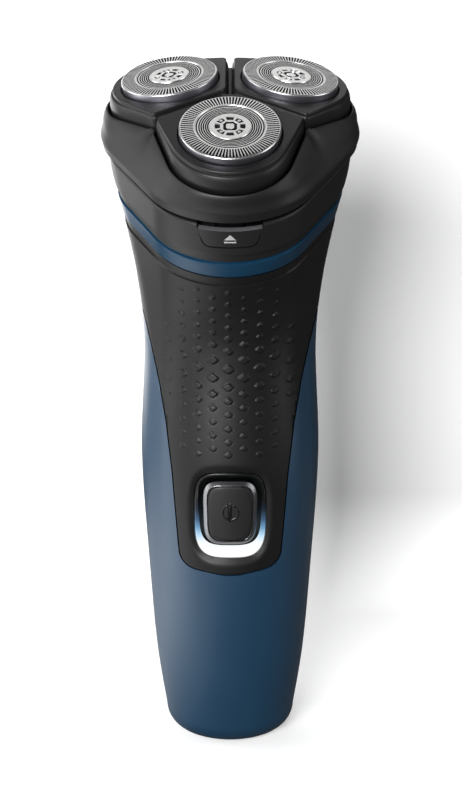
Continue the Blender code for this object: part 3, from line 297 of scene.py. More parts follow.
def faceOut(piece):
    return editAll(piece, bpy.ops.mesh.normals_make_consistent, inside=False)


def editChosen(piece, kind, wanted):
    # opens the mesh for editing with only the wanted faces or vertices selected
    onlySelect(piece)
    bpy.ops.object.mode_set(mode="EDIT")
    bpy.ops.mesh.select_mode(type=kind)
    bpy.ops.mesh.select_all(action="DESELECT")
    shape = bmesh.from_edit_mesh(piece.data)
    for part in shape.faces if kind == "FACE" else shape.verts:
        part.select = wanted(part)
    shape.select_flush_mode()
    bmesh.update_edit_mesh(piece.data)


def ringLoft(name, rings, startFace=True, endFace=True, closed=False):
    # a circle is extruded from ring to ring, and each new ring takes its own shape
    deselectAll()
    bpy.ops.mesh.primitive_circle_add(vertices=len(rings[0]), radius=mm)
    piece = named(name)
    bpy.ops.object.mode_set(mode="EDIT")
    bpy.ops.mesh.select_mode(type="VERT")
    shape = bmesh.from_edit_mesh(piece.data)
    order = shape.verts.layers.int.new("order")
    for index, vertex in enumerate(shape.verts):
        vertex[order] = index
    bpy.ops.mesh.select_all(action="SELECT")
    for number, ring in enumerate(rings):
        if number:
            bpy.ops.mesh.extrude_region_move()
        shape = bmesh.from_edit_mesh(piece.data)
        order = shape.verts.layers.int["order"]
        fresh = [vertex for vertex in shape.verts if vertex.select]
        for vertex in fresh:
            vertex.co = Vector(ring[vertex[order]]) * mm
        if number == 0 and startFace:
            bpy.ops.mesh.edge_face_add()
            shape = bmesh.from_edit_mesh(piece.data)
            shape.faces.ensure_lookup_table()
            shape.faces[0].select = False
            for edge in shape.edges:
                edge.select = True
        bmesh.update_edit_mesh(piece.data)
    if endFace:
        bpy.ops.mesh.edge_face_add()
    if closed:
        bpy.ops.mesh.select_all(action="SELECT")
        bpy.ops.mesh.remove_doubles(threshold=0.002 * mm)
    bpy.ops.mesh.select_all(action="SELECT")
    bpy.ops.mesh.normals_make_consistent(inside=False)
    bpy.ops.object.mode_set(mode="OBJECT")
    piece.data.attributes.remove(piece.data.attributes["order"])
    return piece


def sheetPatch(name, columns, rows, place):
    # a flat grid whose points are laid onto a curved surface
    deselectAll()
    bpy.ops.mesh.primitive_grid_add(x_subdivisions=columns, y_subdivisions=rows, size=mm)
    piece = named(name)
    for index, vertex in enumerate(piece.data.vertices):
        row, column = divmod(index, columns + 1)
        vertex.co = place(column, row) * mm
    return piece


def placed(name, matrix, bevel):
    # a new simple shape goes to its place, and its edges are rounded
    piece = settle(named(name), meters(matrix) if matrix else None)
    return bevelEdges(piece, bevel, 2) if bevel else piece


def addBlock(name, low, high, matrix=None, bevel=0.0):
    deselectAll()
    low, high = Vector(low), Vector(high)
    bpy.ops.mesh.primitive_cube_add(size=1, location=(low + high) / 2 * mm, scale=(high - low) * mm)
    return placed(name, matrix, bevel)


def addRod(name, radius, low, high, matrix=None, sides=48, bevel=0.0):
    deselectAll()
    bpy.ops.mesh.primitive_cylinder_add(vertices=sides, radius=radius * mm, depth=(high - low) * mm,
                                        location=(0, 0, (low + high) / 2 * mm))
    return placed(name, matrix, bevel)


def giveMaterials(piece, *names):
    piece.data.materials.clear()
    for name in names:
        piece.data.materials.append(materials[name])


def finishPiece(piece, body, material, nodes=(), degrees=35):
    onlySelect(piece)
    bpy.ops.object.shade_smooth_by_angle(angle=math.radians(degrees))
    # large faces keep their own direction beside small bevels
    applyModifier(piece, "WEIGHTED_NORMAL", keep_sharp=True, weight=60)
    if material:
        giveMaterials(piece, material)
    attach(piece, body)
    if nodes:
        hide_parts(*nodes)


# Materials.


def feed(tree, node, inputs):
    for key, value in inputs.items():
        if isinstance(value, bpy.types.NodeSocket):
            tree.links.new(value, node.inputs[key])
        else:
            node.inputs[key].default_value = value


def addNode(tree, kind, inputs=None, **settings):
    node = tree.nodes.new(kind)
    for key, value in settings.items():
        setattr(node, key, value)
    feed(tree, node, inputs or {})
    return node.outputs


def remap(tree, value, low=0, high=1, toLow=0, toHigh=1):
    return addNode(tree, "ShaderNodeMapRange", {"Value": value, "From Min": low, "From Max": high,
                                                "To Min": toLow, "To Max": toHigh})["Result"]


def calculate(tree, operation, first, second):
    return addNode(tree, "ShaderNodeMath", {0: first, 1: second}, operation=operation)[0]


def addNoise(tree, place, scale, detail, roughness=0.5):
    return addNode(tree, "ShaderNodeTexNoise", {"Vector": place, "Scale": scale, "Detail": detail,
                                                "Roughness": roughness})["Fac"]


def addBump(tree, height, strength):
    return addNode(tree, "ShaderNodeBump", {"Height": height, "Strength": strength,
                                            "Distance": 0.0001})["Normal"]


def newGroup(name, inputs, outputs):
    group = bpy.data.node_groups.new(name, "ShaderNodeTree")
    for label, value in inputs.items():
        kind = "NodeSocketColor" if isinstance(value, tuple) else "NodeSocketFloat"
        group.interface.new_socket(label, in_out="INPUT", socket_type=kind).default_value = value
    for label in outputs:
        kind = "NodeSocketColor" if label == "Color" else "NodeSocketFloat"
        group.interface.new_socket(label, in_out="OUTPUT", socket_type=kind)
    return group, group.nodes.new("NodeGroupInput").outputs, group.nodes.new("NodeGroupOutput")


def makeGrain():
    # fine moulded grain with slow unevenness under it, out of the object's own coordinates
    group, given, end = newGroup("mouldGrain", {"Base": (0.01, 0.01, 0.01, 1), "Fine": 4000.0, "Uneven": 0.12,
                                                "Rough Low": 0.3, "Rough High": 0.45},
                                 ("Color", "Roughness", "Height"))
    place = addNode(group, "ShaderNodeTexCoord")["Object"]
    slow = addNoise(group, place, 90.0, 3.0)
    uneven = calculate(group, "MULTIPLY", calculate(group, "ADD", slow, -0.5), given["Uneven"])
    tint = addNode(group, "ShaderNodeHueSaturation", {"Color": given["Base"],
                                                      "Value": calculate(group, "ADD", uneven, 1.0)})
    feed(group, end, {"Color": tint["Color"], "Height": addNoise(group, place, given["Fine"], 2.0, 0.55),
                      "Roughness": remap(group, slow, 0.3, 0.7, given["Rough Low"], given["Rough High"])})
    return group


def makeTurned():
    # fine concentric lines: the second UV value is the distance from the part's centre
    group, given, end = newGroup("turnedLines", {"Rough Low": 0.2, "Rough High": 0.4},
                                 ("Roughness", "Height", "Shade"))
    place = addNode(group, "ShaderNodeTexCoord")["UV"]
    stretched = addNode(group, "ShaderNodeMapping", {"Vector": place, "Scale": (6.0, 12000.0, 1.0)})
    lines = addNoise(group, stretched[0], 1.0, 3.0, 0.6)
    feed(group, end, {"Height": lines, "Shade": remap(group, lines, 0.3, 0.7, 0.78, 1.0),
                      "Roughness": remap(group, lines, 0.3, 0.7, given["Rough Low"], given["Rough High"])})
    return group


grainGroup = makeGrain()
turnedGroup = makeTurned()


def newMaterial(name):
    material = bpy.data.materials.new(name)
    material.use_nodes = True
    return material, material.node_tree, material.node_tree.nodes["Principled BSDF"]


def grainMaterial(name, color, low, high, bump, fine, other):
    material, tree, shader = newMaterial(name)
    grain = addNode(tree, "ShaderNodeGroup", {
        "Base": (*color, 1), "Fine": fine, "Uneven": other.get("uneven", 0.15),
        "Rough Low": low, "Rough High": high}, node_tree=grainGroup)
    feed(tree, shader, {
        "Base Color": grain["Color"], "Roughness": grain["Roughness"],
        "Normal": addBump(tree, grain["Height"], bump),
        "Metallic": other.get("metallic", 0.0), "Specular IOR Level": other.get("specular", 0.5),
        "Coat Weight": other.get("coat", 0.0), "Coat Roughness": other.get("coatRough", 0.1)})
    return material


def turnedMaterial(name, color, low, high, bump):
    material, tree, shader = newMaterial(name)
    turned = addNode(tree, "ShaderNodeGroup", {"Rough Low": low, "Rough High": high}, node_tree=turnedGroup)
    # input 0 is the factor, and 6 and 7 are the two colours
    blend = addNode(tree, "ShaderNodeMix", {0: turned["Shade"], 6: (*(0.5 * c for c in color), 1),
                                            7: (*color, 1)}, data_type="RGBA")
    feed(tree, shader, {"Base Color": blend[2], "Roughness": turned["Roughness"], "Metallic": 1.0,
                        "Normal": addBump(tree, turned["Height"], bump)})
    return material


# colour, lowest and highest roughness, bump, scale of the fine grain, and what else differs
looks = {
    "blackPlastic": ((0.0070, 0.0071, 0.0074), 0.42, 0.50, 0.10, 5000, {"specular": 0.4}),
    "headPlastic": ((0.0075, 0.0076, 0.0079), 0.42, 0.50, 0.10, 5000, {"specular": 0.4}),
    "podPlastic": ((0.0072, 0.0073, 0.0076), 0.38, 0.46, 0.10, 5000, {"specular": 0.4}),
    "gripRubber": ((0.0042, 0.0042, 0.0043), 0.42, 0.50, 0.14, 3800, {"specular": 0.32}),
    "bluePlastic": ((0.0055, 0.035, 0.075), 0.36, 0.42, 0.05, 6000,
                    {"uneven": 0.08, "coat": 0.3, "coatRough": 0.38}),
    "releasePlastic": ((0.0085, 0.0085, 0.009), 0.34, 0.42, 0.08, 5000, {}),
    # painted highlight for the release button's upper edge
    "releasePaintedHighlight": ((0.10, 0.10, 0.105), 0.26, 0.34, 0.05, 5000, {}),
    "buttonPlastic": ((0.0065, 0.0065, 0.007), 0.40, 0.48, 0.08, 5000, {}),
    "glossBlack": ((0.004, 0.004, 0.005), 0.08, 0.14, 0.01, 800, {}),
    "innerPlastic": ((0.030, 0.031, 0.033), 0.42, 0.52, 0.12, 3000, {}),
    "gearPlastic": ((0.52, 0.52, 0.49), 0.40, 0.50, 0.08, 3000, {}),
    "lockPlastic": ((0.012, 0.060, 0.15), 0.36, 0.46, 0.08, 3000, {}),
    "sealRubber": ((0.020, 0.020, 0.021), 0.60, 0.72, 0.15, 2500, {}),
    "circuitBoard": ((0.003, 0.012, 0.007), 0.28, 0.40, 0.05, 2500, {}),
    "batterySleeve": ((0.020, 0.105, 0.055), 0.25, 0.35, 0.03, 1500, {}),
    "blackLead": ((0.012, 0.012, 0.012), 0.40, 0.50, 0.08, 3000, {}),
    "redLead": ((0.36, 0.012, 0.010), 0.40, 0.50, 0.08, 3000, {}),
    "plainSteel": ((0.48, 0.48, 0.47), 0.22, 0.36, 0.04, 5000, {"metallic": 1.0}),
    "motorCan": ((0.40, 0.40, 0.40), 0.26, 0.40, 0.05, 3000, {"metallic": 1.0}),
    "brass": ((0.60, 0.40, 0.13), 0.24, 0.36, 0.04, 4000, {"metallic": 1.0}),
    # near-black painted shade for recesses: the caps' grooves, marks, well, slot walls and underside, and the
    # release button's arm and hook
    "paintedRecessShade": ((0.0035, 0.0035, 0.0038), 0.60, 0.70, 0.05, 4000, {"specular": 0.15}),
    # cutters under the slots are painted near-black: painted shade that darkens the slots
    "cutterPaintedShadeSteel": ((0.016, 0.016, 0.017), 0.36, 0.48, 0.05, 5000, {"metallic": 1.0}),
    "surroundBlack": ((0.0040, 0.0040, 0.0045), 0.24, 0.32, 0.02, 3000, {"specular": 0.35}),
    "bezelMetal": ((0.22, 0.22, 0.23), 0.28, 0.34, 0.01, 3000, {"metallic": 1.0}),
    "bandPlastic": ((0.0045, 0.032, 0.068), 0.32, 0.38, 0.05, 6000, {"specular": 0.3, "uneven": 0.08}),
    "printGrey": ((0.36, 0.36, 0.37), 0.45, 0.55, 0.05, 6000, {}),
    "iconBlack": ((0.004, 0.004, 0.0045), 0.16, 0.22, 0.02, 4000, {}),
}
materials = {name: grainMaterial(name, *look) for name, look in looks.items()}
materials["discSteel"] = turnedMaterial("discSteel", (0.86, 0.855, 0.85), 0.22, 0.36, 0.06)
materials["skirtMetal"] = turnedMaterial("skirtMetal", (0.36, 0.35, 0.40), 0.30, 0.40, 0.10)


def lightMaterial():
    # milky guide, lit from below: white at the bottom, then blue, then dark up its arms
    material, tree, shader = newMaterial("lightGuide")
    place = addNode(tree, "ShaderNodeTexCoord")["Object"]
    height = addNode(tree, "ShaderNodeSeparateXYZ", {0: place})["Z"]
    color = addNode(tree, "ShaderNodeValToRGB", {"Fac": remap(tree, height, 52.5 * mm, 65.5 * mm)})["Color"]
    stops = [(0.0, (1.0, 1.0, 1.0)), (0.22, (0.94, 0.98, 1.0)), (0.36, (0.50, 0.74, 0.94)),
             (0.50, (0.16, 0.34, 0.55)), (0.66, (0.045, 0.10, 0.19)), (0.84, (0.006, 0.014, 0.026)),
             (1.0, (0.0, 0.0, 0.0))]
    elements = color.node.color_ramp.elements
    while len(elements) < len(stops):
        elements.new(0.5)
    for element, (position, tint) in zip(elements, stops):
        element.position = position
        element.color = (*tint, 1)
    feed(tree, shader, {"Base Color": (0.006, 0.007, 0.009, 1), "Roughness": 0.30, "Specular IOR Level": 0.35,
                        "Emission Color": color, "Emission Strength": 1.0,
                        "Normal": addBump(tree, addNoise(tree, place, 1500.0, 2.0), 0.03)})
    return material


materials["lightGuide"] = lightMaterial()
print("stage: materials made,", len(materials))


# Cutting caps.

capLook = {
    "radius": 11.25,
    "depth": 3.8,
    "steps": 180,              # every second step of the outer ring is a slot
    "widening": 0.10,          # the slots are a little wider than the bars between them
    "foil": 0.5,
    "slots": (0.715, 0.962),   # inner and outer end, as parts of the radius
    "grooves": (0.434, 0.474, 0.517, 0.56, 0.603, 0.655),
    "grooveHalf": 0.0145,
    "grooveDepth": 0.2,
    "track": -0.12,
    "plate": 0.41,
    "marks": (0.195, 0.30),    # recessed segments around the middle
    "markHalf": 17.0,
    "markDepth": 0.22,
    "well": (0.0935, 0.155),   # recess around the middle
    "squareness": 0.11,        # of the well's outline
    "skirt": 0.994,
    "pin": 0.36,
}


def capProfile():
    # (part of the radius, height, squareness) from the middle out and down the skirt
    look = capLook
    track, half = look["track"], look["grooveHalf"]
    rings = [(0.02, 0.05, 0), (0.086, 0.05, 1), (0.092, -0.10, 1), (0.142, -0.10, 1), (0.148, 0.05, 1),
             (0.16, 0.05, 0.4), (look["marks"][0], 0.05, 0), (look["marks"][1], 0.05, 0),
             (0.36, 0.05, 0), (look["plate"] - 0.008, 0.05, 0), (look["plate"], track, 0)]
    for groove in look["grooves"]:
        bottom = track - look["grooveDepth"]
        rings += [(groove - half, track, 0), (groove - half + 0.002, bottom, 0),
                  (groove + half - 0.002, bottom, 0), (groove + half, track, 0)]
    rings += [(0.682, track, 0), (0.69, 0.0, 0), (look["slots"][0], 0.0, 0), (0.80, 0.0, 0),
              (0.88, -0.02, 0), (look["slots"][1], -0.06, 0), (0.970, -0.075, 0), (0.978, -0.11, 0),
              (0.990, -0.19, 0), (0.998, -0.32, 0), (1.0, -0.50, 0), (1.0, -1.4, 0), (1.0, -2.6, 0),
              (1.0, -look["depth"], 0)]
    return rings


def capRing(reach, height, square):
    count, widening = capLook["steps"], capLook["widening"]
    ring = []
    for index in range(count):
        angle = 2 * math.pi * (index + 0.5 + (widening if index % 2 == 0 else -widening)) / count
        corner = 1 - capLook["squareness"] * square * math.cos(4 * angle)
        radius = capLook["radius"] * reach * corner
        ring.append((radius * math.cos(angle), radius * math.sin(angle), height))
    return ring


def makeCap():
    look = capLook
    radius = look["radius"]
    cap = ringLoft("capFoil", [capRing(*ring) for ring in capProfile()], endFace=False)
    step = 2 * math.pi / look["steps"]

    def within(face, limits):
        # the face's direction from the middle, if it lies between two parts of the radius
        centre = face.calc_center_median() / mm
        reach = centre.xy.length / radius
        return math.atan2(centre.y, centre.x) if limits[0] < reach < limits[1] else None

    def isSlot(face):
        angle = within(face, look["slots"])
        return angle is not None and round(angle / step) % 2 == 0

    def isMark(face):
        angle = within(face, look["marks"])
        return angle is not None and abs(math.degrees(angle) % 45 - 22.5) > 22.5 - look["markHalf"]

    editChosen(cap, "FACE", isSlot)
    bpy.ops.mesh.delete(type="FACE")
    bpy.ops.object.mode_set(mode="OBJECT")
    # the third material is painted shade, put into the cap's recesses below
    giveMaterials(cap, "discSteel", "skirtMetal", "paintedRecessShade")
    editChosen(cap, "FACE", isMark)
    bpy.ops.mesh.inset(thickness=0.05 * mm, depth=-look["markDepth"] * mm, use_boundary=True,
                       use_even_offset=True)
    cap.active_material_index = 2
    bpy.ops.object.material_slot_assign()
    bpy.ops.object.mode_set(mode="OBJECT")
    # the grooves and the recess around the middle get painted shade
    for face in cap.data.polygons:
        reach = face.center.xy.length / radius / mm
        inGroove = any(abs(reach - groove) < look["grooveHalf"] for groove in look["grooves"])
        if inGroove or look["well"][0] < reach < look["well"][1] and face.center.z < 0.04 * mm:
            face.material_index = 2
    # the slots' walls and the underside get painted shade, darker than the polished face
    applyModifier(cap, "SOLIDIFY", thickness=look["foil"] * mm, offset=-1, use_even_offset=True,
                  material_offset=2, material_offset_rim=2)
    for face in cap.data.polygons:
        if face.center.xy.length > look["skirt"] * radius * mm:
            face.material_index = 1
    pins = []
    reach = sum(look["marks"]) / 2 * radius
    for angle in (math.radians(45 + 90 * quarter) for quarter in range(4)):
        place = shiftBy(reach * math.cos(angle), reach * math.sin(angle), 0)
        pins.append(addRod("capPin", look["pin"], -0.3, 0.04, place, 24, 0.06))
        giveMaterials(pins[-1], "discSteel")
    cap = joinInto("capFoil", [cap] + pins)
    layer = cap.data.uv_layers[0]
    for loop in cap.data.loops:
        place = cap.data.vertices[loop.vertex_index].co
        layer.data[loop.index].uv = (math.atan2(place.y, place.x) / (2 * math.pi), place.xy.length - place.z)
    return cap


def placeInPods(first, prefix, replaced, material, degrees):
    # one copy of the piece for each of the three pods
    for name, angle in podAngles.items():
        piece = settle(copyOf(first, prefix + name), meters(podPlace(angle)))
        finishPiece(piece, "pod_" + name, material, [replaced + name], degrees)
    bpy.data.objects.remove(first, do_unlink=True)


placeInPods(makeCap(), "capFoil_", "cap_", None, 30)
print("stage: cutting caps made")


# Pods: the black blocks that carry the caps.

podLook = {
    "centre": 1.2,             # nose arc's centre, outwards from the cap's centre
    "nose": 14.05,             # its radius, in the middle of the gap to the frame
    "corner": (-5.85, 17.0),
    "apex": -15.35,            # where the two inner sides would meet
    "sideFacing": 150,         # direction that the inner side faces
    "cornerRound": 1.4,
    "apexRound": 3.0,
    "gapHalf": 0.3,
    "seat": 11.55,
    "bore": 9.0,
    "levels": (-7.2, -4.1),    # foot of the block, and the step inside that the seat stands on
}


def flankNormal():
    # direction of the straight flank that leaves the nose arc and passes through the corner
    dx, dy = podLook["corner"][0] - podLook["centre"], podLook["corner"][1]
    return math.asin(podLook["nose"] / math.hypot(dx, dy)) + math.atan2(-dx, dy)


def podOutline(grow, cornerRound, apexRound):
    # [(point, outward normal)] right round, starting on the nose; inner sides are not grown
    flank, side = flankNormal(), math.radians(podLook["sideFacing"])
    centre, nose, apex = podLook["centre"], podLook["nose"] + grow, podLook["apex"]
    # the corner's arc is centred where the flank and the inner side meet, once moved inwards
    a, b, c, d = math.cos(flank), math.sin(flank), math.cos(side), math.sin(side)
    first, second = nose - cornerRound + a * centre, c * apex - cornerRound
    det = a * d - b * c
    corner = ((first * d - b * second) / det, (a * second - first * c) / det)

    def arc(x, y, radius, first, last, count):
        points = []
        for index in range(count + 1):
            facing = mix(first, last, index / count)
            normal = (math.cos(facing), math.sin(facing))
            points.append(((x + radius * normal[0], y + radius * normal[1]), normal))
        return points

    def straight(before, after, count):
        # the run between two arcs
        (start, normal), (end, _) = before[-1], after[0]
        return [((mix(start[0], end[0], step / count), mix(start[1], end[1], step / count)), normal)
                for step in range(1, count)]

    noseArc = arc(centre, 0, nose, 0, flank, 20)
    cornerArc = arc(*corner, cornerRound, flank, side, 9)
    apexArc = arc(apex + apexRound / math.sin(math.radians(60)), 0, apexRound, side, math.pi, 5)
    points = noseArc + straight(noseArc, cornerArc, 6) + cornerArc + straight(cornerArc, apexArc, 9) + apexArc
    other = [((x, -y), (nx, -ny)) for (x, y), (nx, ny) in reversed(points[1:-1])]
    return points + other


def makePod():
    look = podLook
    outline = podOutline(-look["gapHalf"], look["cornerRound"], look["apexRound"])

    def circle(radius, height):
        ring = []
        for (x, y), _ in outline:
            reach = math.hypot(x, y)
            ring.append((radius * x / reach, radius * y / reach, height))
        return ring

    def around(noseInset, sideInset, height):
        ring = []
        for (x, y), (nx, ny) in outline:
            inset = mix(sideInset, noseInset, ease(x, -4.0, 12.0))
            ring.append((x - nx * inset, y - ny * inset, height))
        return ring

    bore, seat, (foot, step) = look["bore"], look["seat"], look["levels"]
    rings = [circle(*ring) for ring in (
        (bore, foot), (bore, step), (seat, step), (seat, -2.05), (seat + 0.06, -1.90), (seat + 0.20, -1.80))]
    rings += [around(*ring) for ring in (
        (1.62, 0.62, -1.80), (1.42, 0.46, -1.84), (1.28, 0.36, -1.96), (1.20, 0.30, -2.15),
        (1.14, 0.27, -2.55), (1.12, 0.27, -2.72), (1.00, 0.25, -2.80), (0.80, 0.17, -2.86),
        (0.62, 0.10, -3.02), (0.44, 0.05, -3.35), (0.26, 0.02, -3.85), (0.10, 0.0, -4.6),
        (0.02, 0.0, -5.5), (0.0, 0.0, -6.9), (0.25, 0.25, foot))]
    rings.append(circle(bore, foot))
    return ringLoft("podBlock", rings, startFace=False, endFace=False, closed=True)


placeInPods(makePod(), "podBlock_", "pod_", "podPlastic", 45)
print("stage: pods made")


# Head frame.

headLook = {
    "edge": (-2.15, -0.209),   # pocket edge's height at the centre, and its change per mm outwards
    "edgeWidth": 0.52,
    "edgeDrop": 0.16,
    "edgeSteps": ((0.05, -0.18), (0.16, -0.05), (0.34, -0.03)),    # outwards and up
    "spans": (0.0, 0.05, 0.13, 0.25, 0.4, 0.55, 0.7, 0.83, 0.93, 1.0),
    "even": (9, 6),            # columns on either side over which the outside and its edge even out
    "footSteps": ((-13.0, 0.03), (-13.25, 0.12), (-13.6, 0.32), (-14.95, 0.42), (-15.2, 0.62)),
    "floor": (-12.8, -11.6),
    "bottom": -15.2,
    "wall": 2.3,               # from the widest level inwards
    "ridgeTo": -12.7,
    "floorHole": 7.0,
    "lockHole": 1.9,
    "holes": (-14.0, -10.0),   # the holes in the floor run between these heights
    "catch": ((-3, -30.9, -15.1), (3, -28.6, -14.3)),
    "ribTop": -3.3,
    "ribHalf": 0.38,
    "spindle": 15.33,
    "hinge": (26.6, -15.6),
    "knuckle": 1.7,
    "pinHole": 0.82,
}


def spindlePlace(angle):
    return head @ spinBy(angle, "Z") @ shiftBy(headLook["spindle"], 0, 0)


def hingePlace():
    return head @ shiftBy(0, *headLook["hinge"]) @ spinBy(90, "Y")


def frameRadius(angle, height):
    heights = [-height for height, _, _ in frameLevels]
    inside = max(heights[-1], min(heights[0], -height))
    index = max(0, min(len(heights) - 2, sum(1 for level in heights[1:] if inside <= level)))
    position = index + (heights[index] - inside) / (heights[index] - heights[index + 1])
    _, centre, radius = between(frameLevels, position)
    return radius * triangleRadius(angle, centre / radius)


def pocketColumns():
    # each column gives the pocket wall's point at a height on the head's axis
    gap = podLook["gapHalf"]
    outline = podOutline(gap, podLook["cornerRound"] + 2 * gap, podLook["apexRound"])
    tilt = math.radians(shaver["podTilt"])
    limit = math.radians(118)
    kept = [(math.atan2(normal[1], normal[0]), point) for point, normal in outline]
    kept = [(facing, point) for facing, point in kept if abs(facing) < limit]
    # points of the straight runs share one direction, so they are put in order by their place
    kept.sort(key=lambda entry: (round(entry[0], 4), -entry[1][0] if entry[0] > 0 else entry[1][0]))
    middle, slope = headLook["edge"]
    columns = []
    for angle in (30, 150, 270):
        spin = spinBy(angle, "Z", 3)

        def column(x, y, spin=spin):
            def at(height):
                z = (height + x * math.sin(tilt)) / math.cos(tilt)
                out = shaver["podReach"] + x * math.cos(tilt) + z * math.sin(tilt)
                return spin @ Vector((out, y, height))

            edge = middle
            for _ in range(4):
                edge = middle + slope * (spin.transposed() @ at(edge)).x
            return at, edge

        columns.append([column(x, y) for _, (x, y) in kept])
    joined = []
    for index, group in enumerate(columns):
        joined += group
        (fromAt, fromEdge), (toAt, toEdge) = group[-1], columns[(index + 1) % 3][0]
        for step in range(1, 4):
            t = step / 4

            def at(height, fromAt=fromAt, toAt=toAt, t=t):
                return fromAt(height).lerp(toAt(height), t)

            joined.append((at, mix(fromEdge, toEdge, t)))
    return joined


def spreadOut(values, lapGrowth, width):
    # running mean of a closed list, whose values grow by lapGrowth once round
    count = len(values)
    result = []
    for index in range(count):
        total = weight = 0.0
        for step in range(-width, width + 1):
            lap, place = divmod(index + step, count)
            share = math.exp(-(1.8 * step / width) ** 2)
            total += share * (values[place] + lap * lapGrowth)
            weight += share
        result.append(total / weight)
    return result


def makeHeadFrame():
    look = headLook
    columns = pocketColumns()
    widest = frameLevels[0][0]
    angles = []
    for at, edge in columns:
        rim = at(edge)
        angle = math.atan2(rim.x, -rim.y)
        while angles and angle < angles[-1] - 1:
            angle += 2 * math.pi
        angles.append(angle)
    excesses = [at(edge).xy.length + look["edgeWidth"] - frameRadius(angle, edge - look["edgeDrop"])
                for (at, edge), angle in zip(columns, angles)]
    evenAngles = spreadOut(angles, 2 * math.pi, look["even"][0])
    evenExcesses = spreadOut(excesses, 0, look["even"][0])
    evenEdges = spreadOut([edge for _, edge in columns], 0, look["even"][1])
    lines = []
    for index, (at, edge) in enumerate(columns):
        rim = at(edge)
        out = Vector((rim.x, rim.y, 0)).normalized()
        floor = look["floor"][1]
        points = [at(height) for height in (floor, floor + 0.3, edge - 1.4, edge - 0.42)]
        points += [rim + out * step + Vector((0, 0, rise)) for step, rise in look["edgeSteps"]]
        for span in look["spans"]:
            even = ease(span, 0.0, 0.35)
            angle = mix(angles[index], evenAngles[index], even)
            out = Vector((math.sin(angle), -math.cos(angle), 0))
            top = mix(edge, evenEdges[index], even) - look["edgeDrop"]
            height = mix(top, look["ridgeTo"], span)
            excess = mix(excesses[index], evenExcesses[index], even) * (1 - ease(span, 0.0, 0.9))
            points.append(out * (frameRadius(angle, height) + excess) + Vector((0, 0, height)))
        reach = frameRadius(evenAngles[index], widest)
        steps = look["footSteps"] + ((look["bottom"], look["wall"]), (look["floor"][0], look["wall"]))
        points += [out * (reach - inset) + Vector((0, 0, height)) for height, inset in steps]
        lines.append([head @ point for point in points])
    piece = ringLoft("headFrame", list(zip(*lines)))
    holes = [addRod("floorHole", look["floorHole"], *look["holes"], spindlePlace(angle), 64)
             for angle in podAngles.values()]
    holes.append(addRod("lockHole", look["lockHole"], *look["holes"], head, 40))
    cutAway(piece, *holes)
    catch = addBlock("catch", *look["catch"], head, 0.1)
    v, w = look["hinge"]
    barrel = addRod("frameBarrel", look["knuckle"], -5.7, 5.7, hingePlace(), 40, 0.12)
    web = addBlock("frameWeb", (-5.4, v - 2.35, w + 0.55), (5.4, v + 0.9, w + 1.45), head, 0.1)
    unite(piece, catch, web, barrel)
    cutAway(piece, addRod("framePinHole", look["pinHole"], -7, 7, hingePlace(), 24))
    return editAll(piece, bpy.ops.mesh.fill_holes, sides=6)


def makeRib():
    # three thin webs that stand between the pods
    half = headLook["ribHalf"]
    low, high = (0.2, -half, headLook["floor"][0] + 0.6), (18.4, half, headLook["ribTop"])
    webs = [addBlock("headRib", low, high, head @ spinBy(angle, "Z")) for angle in (90, -30, 210)]
    return bevelEdges(unite(*webs), 0.16, 3)


headFrame = makeHeadFrame()
finishPiece(makeRib(), "shaving_head", "headPlastic", (), 40)
finishPiece(headFrame, "shaving_head", "headPlastic", ["head_frame"], 38)
print("stage: head frame made")


# Collar under the shaving head, and the ring below it.

neckLook = {
    "collar": (-25.1, -16.0),
    "strip": -23.3,            # the darker strip at the collar's foot ends here
    "deck": (-18.6, -17.2),
    "rim": 2.4,
    "wall": 1.8,
    "band": (-29.3, -25.4),
    "hingeHalf": 12.0,
    "knuckleHalf": 6.0,
    "screws": ((0, 14.0), (17.0, -10.0), (-17.0, -10.0)),
    "screwHole": 1.25,
    "spindleHole": 1.8,
    "holes": (-20, -15),       # the holes in the deck run between these heights
    "tongue": 0.8,             # how far the ring's tongue reaches behind its neighbours
}


def neckRings(levels):
    # levels are (height, inset) pairs, and each gives one ring around the neck
    count = shaver["around"]
    return [[neckPoint(2 * math.pi * index / count, height, inset) for index in range(count)]
            for height, inset in levels]


def makeCollar():
    look = neckLook
    low, high = look["collar"]
    strip = look["strip"]
    floor, deck = look["deck"]
    levels = [(floor, look["wall"]), (low, look["wall"]), (low, 0.62), (low + 0.12, 0.46),
              (strip - 0.1, 0.42), (strip + 0.06, 0.36), (strip + 0.16, 0.08), (strip + 0.32, 0.0)]
    levels += [(mix(strip + 0.32, high - 0.62, step / 12), 0.0) for step in range(1, 13)]
    levels += [(high - 0.36, 0.07), (high - 0.16, 0.22), (high - 0.04, 0.42), (high, 0.66),
               (high, look["rim"] - 0.1), (high - 0.1, look["rim"]), (deck, look["rim"])]
    collar = ringLoft("collarRing", neckRings(levels))
    knuckles = []
    v, w = headLook["hinge"]
    for side in (-1, 1):
        first, last = sorted((side * (look["knuckleHalf"] + 0.3), side * look["hingeHalf"]))
        barrel = addRod("knuckle", headLook["knuckle"], first, last, hingePlace(), 40, 0.12)
        web = addBlock("web", (first + 0.3, 21.0, w - 1.45), (last - 0.3, v + 0.2, w - 0.65), head, 0.1)
        knuckles += [web, barrel]
    unite(collar, *knuckles)
    holes = [addRod("pinHole", headLook["pinHole"], -13, 13, hingePlace(), 24)]
    holes += [addRod("spindleHole", look["spindleHole"], *look["holes"], spindlePlace(angle), 32)
              for angle in podAngles.values()]
    holes += [addRod("screwHole", look["screwHole"], *look["holes"], head @ shiftBy(u, v, 0), 24)
              for u, v in look["screws"]]
    return cutAway(collar, *holes)


